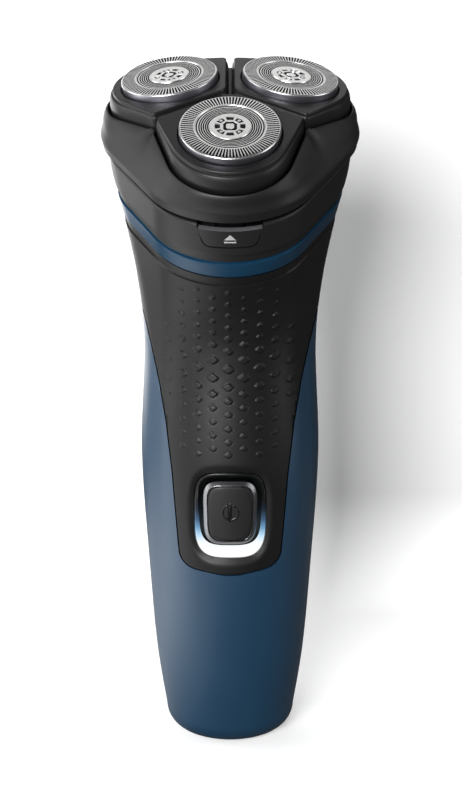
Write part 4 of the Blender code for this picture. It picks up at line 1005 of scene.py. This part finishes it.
releaseLook = {
    "levels": (-21.0, -17.1),
    "halves": (5.6, 7.2),
    "corners": (1.1, 0.35),
    "gap": 0.3,
    "roof": 4.2,               # above the button the opening runs out of the collar's top
    "sink": 0.05,
    "depth": 1.6,
    "opening": (-1.0, 4.6),    # the opening starts outside the collar, and is this deep
    "well": ((-3.3, -30.5, -24.0), (3.3, -25.6, -15.0)),
    "arm": ((-3, -30.4, -20.6), (3, -27.2, -19.4)),
    "hook": ((-3, -28.6, -20.6), (3, -27.2, -13.6)),
    "print": 0.12,             # thickness of the printed mark
    "armDepth": -29.3,         # the arm and the hook lie behind this, and get painted shade
    "armHalf": 3.1,
    "highlightSlope": 0.2,          # the upper edge, where it turns up, is painted lighter: a painted highlight line
    "highlightHeight": 0.5,
}


def releaseSpan(grow):
    low, high = releaseLook["levels"]
    return low - grow, high + grow * releaseLook["roof"]


def releaseHalf(height, grow):
    # half width of the release button at a height, with its lower and upper corners rounded
    low, high = releaseSpan(grow)
    half = mix(*releaseLook["halves"], (height - low) / (high - low)) + grow
    for corner, reach in zip(releaseLook["corners"], (height - low, high - height)):
        corner += grow
        if reach < corner:
            half -= corner - math.sqrt(max(0.0, corner ** 2 - (corner - reach) ** 2))
    return half


def neckFront(side, height, solveSink, sink):
    # point of the neck's front at a given side and height
    angle = solve(lambda a: neckPoint(a, height, solveSink).x - abs(side), 0.0, 1.2)
    return neckPoint(math.copysign(angle, side), height, sink)


def releaseSheet(name, grow, sink, rows=36, columns=48):
    low, high = releaseSpan(grow)

    def place(column, row):
        height = mix(low, high, 0.5 - 0.5 * math.cos(math.pi * row / rows))
        half = releaseHalf(height, grow)
        return neckFront(mix(-half, half, column / columns), height, sink, sink)

    return sheetPatch(name, columns, rows, place)


def pushIn(piece, depth):
    # the walls run the way the button travels, so it keeps its gap when pressed
    inward = head.to_3x3() @ Vector((0, 1, 0)) * depth * mm
    editAll(piece, bpy.ops.mesh.extrude_region_move, TRANSFORM_OT_translate={"value": inward})
    return faceOut(piece)


def thicken(piece, thickness):
    # the sheet's normals are turned outwards first: up along the body, so they face its front
    faceOut(piece)
    centre = sum((face.center for face in piece.data.polygons), Vector()) / len(piece.data.polygons)
    normal = sum((face.normal * face.area for face in piece.data.polygons), Vector())
    if normal.dot(Vector((centre.x, centre.y, 0))) < 0:
        editAll(piece, bpy.ops.mesh.flip_normals)
    return applyModifier(piece, "SOLIDIFY", thickness=thickness * mm, offset=-1, use_even_offset=True)


collar = makeCollar()
outside, depth = releaseLook["opening"]
opening = pushIn(releaseSheet("releaseOpening", releaseLook["gap"], outside), depth)
cutAway(collar, opening, addBlock("releaseWell", *releaseLook["well"], head))
finishPiece(collar, "handle", "blackPlastic", ["collar"], 38)

releaseButton = pushIn(releaseSheet("releaseButton", 0.0, releaseLook["sink"]), releaseLook["depth"])
bevelEdges(releaseButton, 0.28, 4, 50)
arm = addBlock("releaseArm", *releaseLook["arm"], head, 0.1)
hook = addBlock("releaseHook", *releaseLook["hook"], head, 0.1)
unite(releaseButton, arm, hook)
giveMaterials(releaseButton, "releasePlastic", "releasePaintedHighlight", "paintedRecessShade")
inward = head.inverted()
highlightFrom = releaseLook["levels"][1] - releaseLook["highlightHeight"]
for face in releaseButton.data.polygons:
    centre = inward @ (face.center / mm)
    slope = (inward.to_3x3() @ face.normal).z
    # the arm and the hook behind the face get painted shade
    if centre.y > releaseLook["armDepth"] and abs(centre.x) < releaseLook["armHalf"]:
        face.material_index = 2
    else:
        # faces turned up near the top edge get the painted highlight
        face.material_index = 1 if slope > releaseLook["highlightSlope"] and centre.z > highlightFrom else 0
finishPiece(releaseButton, "release", None, ["release_button"], 50)


def releaseMark(name, low, high, halfLow, halfHigh, rows=6, columns=12):
    # printed shape lying on the button's face, between two heights
    def place(column, row):
        t = row / rows
        side = mix(-1, 1, column / columns) * mix(halfLow, halfHigh, t)
        return neckFront(side, mix(low, high, t), 0.0, releaseLook["sink"] - 0.02)

    return thicken(sheetPatch(name, columns, rows, place), releaseLook["print"])


ejectMark = joinInto("ejectMark", [releaseMark("ejectArrow", -19.25, -18.0, 1.35, 0.05),
                                   releaseMark("ejectBar", -19.95, -19.6, 1.35, 1.35)])
finishPiece(ejectMark, "release", "printGrey")

low, high = neckLook["band"]
bandLevels = [(low, 0.25), (low + 0.08, 0.08), (low + 0.25, 0.0)]
bandLevels += [(mix(low + 0.25, high - 0.25, step / 6), 0.0) for step in range(1, 7)]
bandLevels += [(high - 0.08, 0.08), (high, 0.25)]
# inside, a tongue reaches behind the pieces above and below, so the joints don't show through
top, foot = high + neckLook["tongue"], low - neckLook["tongue"]
bandLevels += [(high, 0.6), (top, 0.6), (top, 2.0), (foot, 2.0), (foot, 0.6), (low, 0.6), (low, 0.25)]
band = ringLoft("neckRing", neckRings(bandLevels), False, False, True)
finishPiece(band, "handle", "bandPlastic", ["neck_band"], 38)
print("stage: collar, release button and neck ring made")


# Handle: front and rear housings.


def makeBody():
    count = shaver["around"]
    outside = [-1 + step / 10 for step in range(10)]
    for index, span in enumerate(shaver["levels"]):
        outside += [index + step / span for step in range(span)]
    outside.append(bodyTop)
    angles = [2 * math.pi * index / count for index in range(count)]
    body = ringLoft("body", [[bodyPoint(a, p) for a in angles] for p in outside])
    levels = [p for p in outside if p >= 0 and round(p * 2, 3) % 1 == 0]
    levels[-1] = bodyTop + 0.5
    core = ringLoft("bodyCore", [[bodyPoint(a, p, shaver["wall"]) - Vector((0, 0, 3 * (p == 0)))
                                  for a in angles] for p in levels])
    return cutAway(body, core)


def prism(name, outline, near, far):
    # outline in (x, z) seen from the front, pushed along y
    rings = [[Vector((x, y, z)) for x, z in outline] for y in (near, far)]
    return ringLoft(name, rings)


def rounded(corners, steps):
    # (x, z, radius) corners with their arcs, every steps degrees
    points = []
    for index, (x, z, radius) in enumerate(corners):
        before, after = corners[index - 1], corners[(index + 1) % len(corners)]
        here = Vector((x, z))
        if radius <= 0:
            points.append((x, z))
            continue
        first = (Vector(before[:2]) - here).normalized()
        last = (Vector(after[:2]) - here).normalized()
        half = first.angle(last) / 2
        reach = min(radius / math.tan(half), 0.5 * (Vector(before[:2]) - here).length,
                    0.5 * (Vector(after[:2]) - here).length)
        radius = reach * math.tan(half)
        centre = here + (first + last).normalized() * (radius / math.sin(half))
        start = here + first * reach - centre
        turn = math.pi - 2 * half
        side = 1 if first.x * last.y - first.y * last.x < 0 else -1
        count = max(2, math.ceil(math.degrees(turn) / steps))
        for step in range(count + 1):
            spot = Matrix.Rotation(side * turn * step / count, 2) @ start
            points.append(tuple(centre + spot))
    return points


panelLook = {
    "fit": 0.3,
    "depth": 3.0,
    "bottom": (47.4, 22.0),
    "corner": (11.8, 49.3, 6.4),
    "edge": ((12.4, 56.0), (13.6, 72.0), (15.0, 83.5), (16.7, 92.5), (18.8, 101.0), (21.0, 109.0)),
    "bend": 12.0,
    "side": 30.0,
}


def panelOutline(grow):
    x, z, corner = panelLook["corner"]
    half = [(x + grow, z - grow, corner)]
    half += [(x + grow, z, panelLook["bend"]) for x, z in panelLook["edge"][:-1]]
    x, z = panelLook["edge"][-1]
    half += [(x + grow, z - grow, 3.0), (panelLook["side"], z + 3.2 - grow, 0), (panelLook["side"], 175, 0)]
    other = [(-x, z, radius) for x, z, radius in reversed(half)]
    base, end = panelLook["bottom"]
    return rounded([(0, base - grow, end)] + half + other, 3)


def frontBlock(depth):
    return addBlock("frontHalf", (-40, -60, -5), (40, depth, 180))


inletLook = {"y": 4.6, "size": (8.2, 4.5), "corner": 2.2, "wall": 0.82, "heights": (-1, 9)}
footLook = {"screws": ((7.0, -2.8), (-7.0, -2.8)), "sink": 2.1, "heights": (-1, 1.4)}

wholeBody = makeBody()
footHoles = [addRod("screwSink", footLook["sink"], *footLook["heights"], shiftBy(x, y, 0), 32)
             for x, y in footLook["screws"]]
halfWidth, halfDepth = (size / 2 + inletLook["wall"] for size in inletLook["size"])
inletHole = addBlock("inletHole", (-halfWidth, inletLook["y"] - halfDepth, inletLook["heights"][0]),
                     (halfWidth, inletLook["y"] + halfDepth, inletLook["heights"][1]))
bevelEdges(inletHole, inletLook["corner"], 6)
cutAway(wholeBody, inletHole, *footHoles)
rearHousing = copyOf(wholeBody, "rearShell")
cutAway(rearHousing, frontBlock(shaver["partingY"] + shaver["partingHalf"]))
bevelEdges(rearHousing, 0.12, 2, 60)
finishPiece(rearHousing, "handle", "bluePlastic", ["rear_housing"], 38)
frontHousing = wholeBody
frontHousing.name = frontHousing.data.name = "frontShell"
combine(frontHousing, frontBlock(shaver["partingY"] - shaver["partingHalf"]), "INTERSECT")
cutAway(frontHousing, prism("panelOpening", panelOutline(panelLook["fit"]), -60, 60))
bevelEdges(frontHousing, 0.10, 2, 60)
finishPiece(frontHousing, "handle", "bluePlastic", ["front_housing"], 38)
print("stage: housings made")


# Grip panel with its moulded diamonds.

windowLook = {"centre": 62.4, "halves": (8.5, 10.6), "power": 3.9, "taper": 0.025}
gripLook = {
    "columnStep": 3.62,
    "columnShift": -0.4,
    "lastColumn": 4,
    "lastRows": (87, 105),     # the outermost columns are shorter
    "middleRows": (77.4, 80.4, 83.5, 86.8, 90.0, 93.3, 97.5, 101.7, 104.7, 107.4, 110.4, 113.2, 116.0),
    "largest": 97,             # height of the largest diamonds
    "above": (0.5, 7),         # smallest size above them, and how fast it is reached
    "below": (0.66, 6),
    "halfWidth": 1.75,
    "halfHeight": 1.3,
    "reach": (2.2, 2.4),       # sideways and up, outside which a diamond has no effect
    "sideways": (0.15, 13),    # diamonds get this much smaller, this far from the middle
    "corners": (1.35, 0.3),    # rounding of their corners: its size and its share
    "raised": 0.32,
    "shallow": 0.15,
    "raisedFrom": (86, 94),
    "fading": (106, 117, 0.6),
    "slope": (0.80, 1.0),
    "groove": (1.04, 0.10),    # groove around each diamond: its place and width
    "grooveDepth": (0.10, 0.05),
    "grooveFrom": (88, 96),
    "within": (76, 118.5),     # heights that hold diamonds
    "widest": 0.78,            # angle beyond which there are none
    "dip": (0.8, 2.0),         # depth at the window's edge and how far out it starts
    "dipWithin": (14, 80),     # it stays within this half width and height
    "strip": (-31.7, 0.35),    # darker strip under the neck ring: where it starts, and its inset
    "rows": (46.4, 0.62, 49),  # lowest row, and the step and number of the plain rows
    "dense": 0.21,             # step of the rows that hold diamonds
    "denseTo": 118,
    "radius": 21,              # turns that step into an angle around the handle
    "columns": (76, 16),       # dense and coarse columns on either side
    "inner": 0.12,             # part of the hidden inner side's faces that stays
}


def squircle(look, grow, count=96):
    # rounded outline seen from the front, a little wider at the top
    points = []
    halfWidth, halfHeight = look["halves"]
    for index in range(count):
        angle = 2 * math.pi * index / count
        x = math.copysign(abs(math.cos(angle)) ** (2 / look["power"]), math.cos(angle))
        z = math.copysign(abs(math.sin(angle)) ** (2 / look["power"]), math.sin(angle))
        side = x * (halfWidth + grow) * (1 + look["taper"] * z)
        points.append((side, look["centre"] + z * (halfHeight + grow)))
    return points


def outsideBy(look, x, z):
    # rough distance outside a squircle, in millimetres
    halfWidth, halfHeight = look["halves"]
    up = (z - look["centre"]) / halfHeight
    side = abs(x) / halfWidth / (1 + look["taper"] * up)
    ratio = (side ** look["power"] + abs(up) ** look["power"]) ** (1 / look["power"])
    return (ratio - 1) * math.hypot(x, z - look["centre"]) / max(ratio, 0.01)


def frontPoint(x, z, sink=0.0):
    # point of the handle's front at a given side and height
    angle, position = x / 21, 1 + (z - 22) / 25
    for _ in range(12):
        here = bodyPoint(angle, position)
        rise = (bodyPoint(angle, position + 0.01).z - here.z) / 0.01
        spread = (bodyPoint(angle + 0.01, position).x - here.x) / 0.01
        angle += (x - here.x) / spread
        position += (z - here.z) / rise
    return bodyPoint(angle, position) + Vector((0, sink, 0))


def diamondRelief(x, z):
    look = gripLook
    middle, largest, last = look["middleRows"], look["largest"], look["lastColumn"]
    staggered = [(a + b) / 2 for a, b in zip(middle, middle[1:])]
    nearest = round((x - look["columnShift"]) / look["columnStep"])
    relief = 0.0
    for column in (nearest - 1, nearest, nearest + 1):
        across = x - look["columnShift"] - column * look["columnStep"]
        if abs(column) > last or abs(across) > look["reach"][0]:
            continue
        for row in middle if column % 2 == 0 else staggered:
            up = z - row
            missing = abs(column) == last and not look["lastRows"][0] < row < look["lastRows"][1]
            if missing or abs(up) > look["reach"][1]:
                continue
            smallest, spread = look["above"] if row > largest else look["below"]
            size = mix(smallest, 1.0, math.exp(-((row - largest) / spread) ** 2))
            less, width = look["sideways"]
            size *= 1 - less * (column * look["columnStep"] / width) ** 2
            # flat tiles with steep edges, rounded a little at their corners
            side, height = across / look["halfWidth"] / size, up / look["halfHeight"] / size
            diagonal, share = look["corners"]
            reach = mix(abs(side) + abs(height), diagonal * math.hypot(side, height), share)
            strength = mix(look["shallow"], look["raised"], ease(row, *look["raisedFrom"]))
            low, high, least = look["fading"]
            strength *= mix(1.0, least, ease(row, low, high))
            edge, width = look["groove"]
            groove = math.exp(-((reach - edge) / width) ** 2)
            groove *= mix(*look["grooveDepth"], ease(row, *look["grooveFrom"]))
            relief += strength * (1 - ease(reach, *look["slope"])) - groove
    return relief


def makeGripPanel():
    look = gripLook
    fine, coarse = look["columns"]
    lowest, plainStep, plainCount = look["rows"]
    heights = [lowest + plainStep * index for index in range(plainCount)]
    while heights[-1] < look["denseTo"]:
        heights.append(heights[-1] + look["dense"])
    positions = [stationAtHeight(height) for height in heights]
    positions += [mix(positions[-1], bodyTop, t) for t in (0.3, 0.6, 0.85, 1.0)]
    heights += [bodyPoint(0, p).z for p in positions[len(heights):]]
    limits = [angleAtDepth(position, shaver["partingY"] - shaver["partingHalf"]) for position in positions]

    def place(column, row):
        index, height = column - fine - coarse, heights[row]
        angle = look["dense"] / look["radius"] * min(abs(index), fine)
        angle = mix(angle, limits[row], max(0, abs(index) - fine) / coarse)
        point = bodyPoint(math.copysign(angle, index), positions[row])
        out = Vector((point.x, point.y - 2, 0)).normalized()
        inPattern = look["within"][0] < height < look["within"][1] and angle < look["widest"]
        sink = -diamondRelief(point.x, height) if inPattern else 0.0
        if abs(point.x) < look["dipWithin"][0] and point.z < look["dipWithin"][1]:
            depth, reach = look["dip"]
            outside = outsideBy(windowLook, point.x, point.z)
            sink += depth * (1 - ease(outside, 0.0, reach)) ** 1.3
        start, inset = look["strip"]
        sink += inset * ease((inward @ point).z, start - 0.12, start + 0.02)
        return point - out * sink

    sheet = sheetPatch("gripPanel", 2 * (fine + coarse), len(positions) - 1, place)
    panel = thicken(sheet, panelLook["depth"])
    # the hidden inner side needs far fewer faces
    outer = len(panel.data.vertices) // 2
    editChosen(panel, "VERT", lambda vertex: vertex.index >= outer
               and not any(edge.is_boundary for edge in vertex.link_edges))
    bpy.ops.mesh.decimate(ratio=look["inner"])
    bpy.ops.object.mode_set(mode="OBJECT")
    combine(panel, prism("panelShape", panelOutline(0), -60, 60), "INTERSECT")
    cutAway(panel, prism("panelWindow", squircle(windowLook, 0.12), -60, 0))
    return bevelEdges(panel, 0.1, 2, 62)


finishPiece(makeGripPanel(), "handle", "gripRubber", ["grip_panel"], 50)
print("stage: grip panel made")


# Power button in its lit window.

buttonLook = {
    "centre": 63.1,
    "halves": (6.4, 7.9),
    "power": 4.2,
    "taper": 0.03,
    "stem": (14.7, 16.6),
    "stemRadius": 1.5,
    "lightTop": 66.0,
    "lightGap": 1.05,
    "lightSink": (0.5, 0.9),   # of the light guide, and of the surround above it
    "rim": 1.22,               # width of the gloss rim, which holds the bezel
    "bezel": (0.10, 1.0),
    "markRise": 0.4,           # the mark's middle above the button's
    "markRadius": 1.85,
    "markLine": (0.27, 0.25),  # radius of the ring's line and of the bar
    "markBar": (0.2, 2.3),
    "markGap": 20,             # degrees between the middle of its gap and its end
}


def makePowerButton():
    # (growth, sink) pairs: each is the outline laid on the handle's front
    profile = [(-0.55, 3.6), (-0.12, 3.4), (0.0, 3.1), (0.0, 0.95), (-0.05, 0.82), (-0.16, 0.72),
               (-0.78, 0.20), (-0.88, 0.13), (-0.98, 0.12), (-1.06, 0.17), (-1.10, 0.34), (-1.20, 0.36),
               (-1.26, 0.22), (-1.36, 0.14), (-1.5, 0.11), (-2.2, 0.12), (-3.2, 0.14), (-4.2, 0.16),
               (-5.2, 0.17), (-5.9, 0.17)]
    button = ringLoft("powerButton", [[frontPoint(x, z, sink) for x, z in squircle(buttonLook, grow)]
                                      for grow, sink in profile])
    stemPlace = shiftBy(0, 0, buttonLook["centre"]) @ spinBy(90, "X")
    return unite(button, addRod("buttonStem", buttonLook["stemRadius"], *buttonLook["stem"], stemPlace, 32))


def wrapOnFront(piece, sink):
    # the piece is drawn standing in the x-z plane, and each point keeps its depth on the handle
    for vertex in piece.data.vertices:
        x, depth, z = vertex.co / mm
        vertex.co = frontPoint(x, z, sink + depth) * mm
    return piece


def tube(points, radius, sides=16):
    # flattened tube along a line of points in the x-z plane, with narrower ends
    rings = []
    for index, point in enumerate(points):
        last, following = points[max(index - 1, 0)], points[min(index + 1, len(points) - 1)]
        reach = radius * (0.6 if index in (0, len(points) - 1) else 1.0)
        across = (following - last).normalized().cross(Vector((0, 1, 0))) * reach
        depth = Vector((0, 0.7, 0)) * reach
        angles = [2 * math.pi * side / sides for side in range(sides)]
        rings.append([point + across * math.cos(angle) + depth * math.sin(angle) for angle in angles])
    return ringLoft("powerMark", rings)


def makePowerMark():
    # a ring with a gap at its top, and a bar through the gap, standing a little out of the face
    look = buttonLook
    centre = Vector((0.05, 0, look["centre"] + look["markRise"]))
    first, whole = 90 + look["markGap"], 360 - 2 * look["markGap"]
    angles = [math.radians(first + whole * step / 80) for step in range(81)]
    ringLine, barLine = look["markLine"]
    circle = [centre + look["markRadius"] * Vector((math.cos(t), 0, math.sin(t))) for t in angles]
    upright = [centre + Vector((0, 0, mix(*look["markBar"], step / 12))) for step in range(13)]
    ring, bar = tube(circle, ringLine), tube(upright, barLine)
    return wrapOnFront(joinInto("powerMark", [ring, bar]), 0.10)


powerButton = makePowerButton()
giveMaterials(powerButton, "buttonPlastic", "glossBlack", "bezelMetal")
for face in powerButton.data.polygons:
    centre = face.center / mm
    inside = -outsideBy(buttonLook, centre.x, centre.z)
    if inside < buttonLook["rim"]:
        onBezel = buttonLook["bezel"][0] < inside < buttonLook["bezel"][1] and centre.y < -14
        face.material_index = 2 if onBezel else 1
finishPiece(powerButton, "power", None, ["power_button"], 28)
finishPiece(makePowerMark(), "power", "iconBlack", (), 60)


def makeWindowRing(name, low, high):
    # band between the button's slot and the window's edge, kept between two heights
    look = buttonLook
    button, window = squircle(look, look["lightGap"]), squircle(windowLook, -0.05)
    profile = [(0.0, 2.6), (0.0, 0.35), (0.04, 0.16), (0.14, 0.05), (0.35, 0.0), (0.65, 0.0),
               (0.86, 0.06), (0.96, 0.18), (1.0, 0.38), (1.0, 2.6), (0.0, 2.6)]
    rings = []
    for across, drop in profile:
        ring = []
        for (bx, bz), (wx, wz) in zip(button, window):
            height = mix(bz, wz, across)
            sink = mix(*look["lightSink"], ease(height, look["lightTop"], look["lightTop"] + 3))
            ring.append(frontPoint(mix(bx, wx, across), height, sink + drop))
        rings.append(ring)
    band = ringLoft(name, rings, False, False, True)
    return combine(band, addBlock("keep", (-20, -40, low), (20, 0, high)), "INTERSECT")


surround = makeWindowRing("windowSurround", buttonLook["lightTop"] + 0.03, 90)
finishPiece(surround, "handle", "surroundBlack", ["button_surround"], 40)
guide = makeWindowRing("windowLight", 40, buttonLook["lightTop"])
finishPiece(guide, "handle", "lightGuide", ["light_guide"], 40)
print("stage: power button made")


# Nodes kept from the frame take on better materials.

keptLooks = {
    "steel": "plainSteel", "motor_can": "motorCan", "inner_plastic": "innerPlastic",
    "gear_plastic": "gearPlastic", "brass": "brass", "light_guide": "gearPlastic",
    "circuit_board": "circuitBoard", "battery_sleeve": "batterySleeve", "seal_rubber": "sealRubber",
    "black_lead": "blackLead", "red_lead": "redLead", "blue_plastic": "lockPlastic",
    "black_plastic": "blackPlastic", "gloss_plastic": "glossBlack", "grip_plastic": "gripRubber",
}
for name in frame["nodes"]:
    node = bpy.data.objects[name]
    for slot in node.material_slots:
        # the cutters take the near-black steel, painted shade seen through the slots
        look = "cutterPaintedShadeSteel" if name.startswith("cutter_") else keptLooks[slot.material.name]
        slot.material = materials[look]
print("stage: kept nodes painted")


# Stage, lights and camera.

stageLook = {
    "wall": 0.10,              # metres behind the shaver's middle
    "bend": 0.03,
    "reach": (-1.2, 0.27),     # front end of the floor and top of the wall
    "half": 1.6,
    "tones": (0.14, 0.95),     # what the object sees of the floor, and what the camera sees
    "lift": (0.03, 0.34),      # plain light for the camera on the wall, and on the floor
    "fade": (0.42, 0.80),      # from and to this far away the floor fades to white
    "faded": 0.90,
    "glow": 2.3,               # the floor at the left mirrors a low softbox into the shaver
    "near": (-0.01, -0.10),    # the softbox's end towards the shaver, and its far end
    "far": (-0.80, -0.50),
    "beside": (-0.13, -0.05),  # in front of this it keeps this far away
    "around": (0.27, 0.39),
    "behind": (0.0, 0.06),     # behind this it is weaker
    "weaker": 0.4,
    "world": (0.06, 1.0),      # what the object sees of the surroundings, and what the camera sees
}


def makeBackdrop():
    look = stageLook
    bend, wall = look["bend"], look["wall"]
    profile = [(look["reach"][0], 0.0), (-0.3, 0.0), (wall - bend - 0.01, 0.0)]
    for step in range(17):
        angle = math.radians(90 * step / 16)
        profile.append((wall - bend + bend * math.sin(angle), bend - bend * math.cos(angle)))
    profile += [(wall, 0.15), (wall, look["reach"][1])]

    def place(column, row):
        y, z = profile[row]
        return Vector((mix(-look["half"], look["half"], column / 4), y, z)) / mm

    backdrop = sheetPatch("backdrop", 4, len(profile) - 1, place)
    onlySelect(backdrop)
    bpy.ops.object.shade_smooth()
    material, tree, shader = newMaterial("backdropWhite")
    backdrop.data.materials.append(material)

    def level(value, limits, toLow=0, toHigh=1):
        return remap(tree, value, *limits, toLow, toHigh)

    def product(first, second):
        return calculate(tree, "MULTIPLY", first, second)

    spot = addNode(tree, "ShaderNodeTexCoord")["Object"]
    split = addNode(tree, "ShaderNodeSeparateXYZ", {0: spot})
    distance = addNode(tree, "ShaderNodeVectorMath", {0: spot}, operation="LENGTH")["Value"]
    shape = addNode(tree, "ShaderNodeNewGeometry")
    up = addNode(tree, "ShaderNodeSeparateXYZ", {0: shape["Normal"]})["Z"]
    direct = addNode(tree, "ShaderNodeLightPath")["Is Camera Ray"]
    # the camera sees a white stage, while the object gets little light back from it
    tone = product(remap(tree, direct, 0, 1, *look["tones"]),
                   remap(tree, addNoise(tree, spot, 4.0, 1.0), 0, 1, 0.99, 1.0))
    lift = calculate(tree, "ADD", remap(tree, up, 0, 1, *look["lift"]),
                     level(distance, look["fade"], 0, look["faded"]))
    # the softbox stands beside the shaver and curves round in front, farther out
    where = calculate(tree, "MAXIMUM", level(split["Y"], look["beside"]), level(distance, look["around"]))
    where = product(where, level(split["Y"], look["behind"], 1, look["weaker"]))
    near = product(level(split["X"], look["near"]), where)
    glow = product(near, level(split["X"], look["far"], 0, look["glow"]))
    seen = addNode(tree, "ShaderNodeMix", {0: direct, 2: product(glow, up), 3: lift}, data_type="FLOAT")
    feed(tree, shader, {"Base Color": tone, "Emission Color": seen[0], "Emission Strength": 1.0,
                        "Roughness": 0.9, "Specular IOR Level": 0.1})
    # from behind, and for light on its way to the shaver's back, the wall isn't there
    away = product(calculate(tree, "SUBTRACT", 1.0, direct), calculate(tree, "LESS_THAN", up, 0.5))
    gone = calculate(tree, "MAXIMUM", shape["Backfacing"], away)
    seeThrough = addNode(tree, "ShaderNodeBsdfTransparent")
    choice = addNode(tree, "ShaderNodeMixShader", {0: gone, 1: shader.outputs[0], 2: seeThrough[0]})
    feed(tree, tree.nodes["Material Output"], {"Surface": choice[0]})


makeBackdrop()

# place, target, size and power
lights = {
    "wallLight": ((-0.36, -1.00, 0.45), (0, 0.02, 0.09), (0.48, 0.42), 14.8),
    "sideLight": ((-0.90, -0.02, 0.30), (0, 0, 0.09), (0.6, 0.8), 5.0),
    "backLight": ((-0.42, 0.85, 0.14), (0, 0, 0.09), (0.9, 0.5), 5.0),
    "capLight": ((-0.05, 0.50, 0.85), (0, 0, 0.16), (0.9, 0.9), 2.1),
    "rightLight": ((0.75, -0.20, 0.35), (0, 0, 0.09), (0.35, 0.8), 2.0),
}
for name, (place, target, size, power) in lights.items():
    data = bpy.data.lights.new(name, "AREA")
    data.shape = "RECTANGLE"
    data.size, data.size_y = size
    data.energy = power
    light = bpy.data.objects.new(name, data)
    bpy.context.collection.objects.link(light)
    light.location = place
    light.rotation_euler = (Vector(target) - Vector(place)).to_track_quat("-Z", "Y").to_euler()

world = bpy.data.worlds.new("studioWhite")
bpy.context.scene.world = world
world.use_nodes = True
tree = world.node_tree
direct = addNode(tree, "ShaderNodeLightPath")["Is Camera Ray"]
feed(tree, tree.nodes["Background"], {"Color": (1, 1, 1, 1),
                                      "Strength": remap(tree, direct, 0, 1, *stageLook["world"])})

cameraData = bpy.data.cameras.new("camera")
cameraData.lens = 60.75
cameraData.sensor_width = 36.0
cameraData.shift_x = 0.0011
camera = bpy.data.objects.new("camera", cameraData)
bpy.context.collection.objects.link(camera)
camera.location = (0, -0.32154, 0.16609)
camera.rotation_euler = (math.radians(76), 0, 0)
bpy.context.scene.camera = camera
bpy.context.scene.view_settings.view_transform = "Standard"

print("stage: finished")
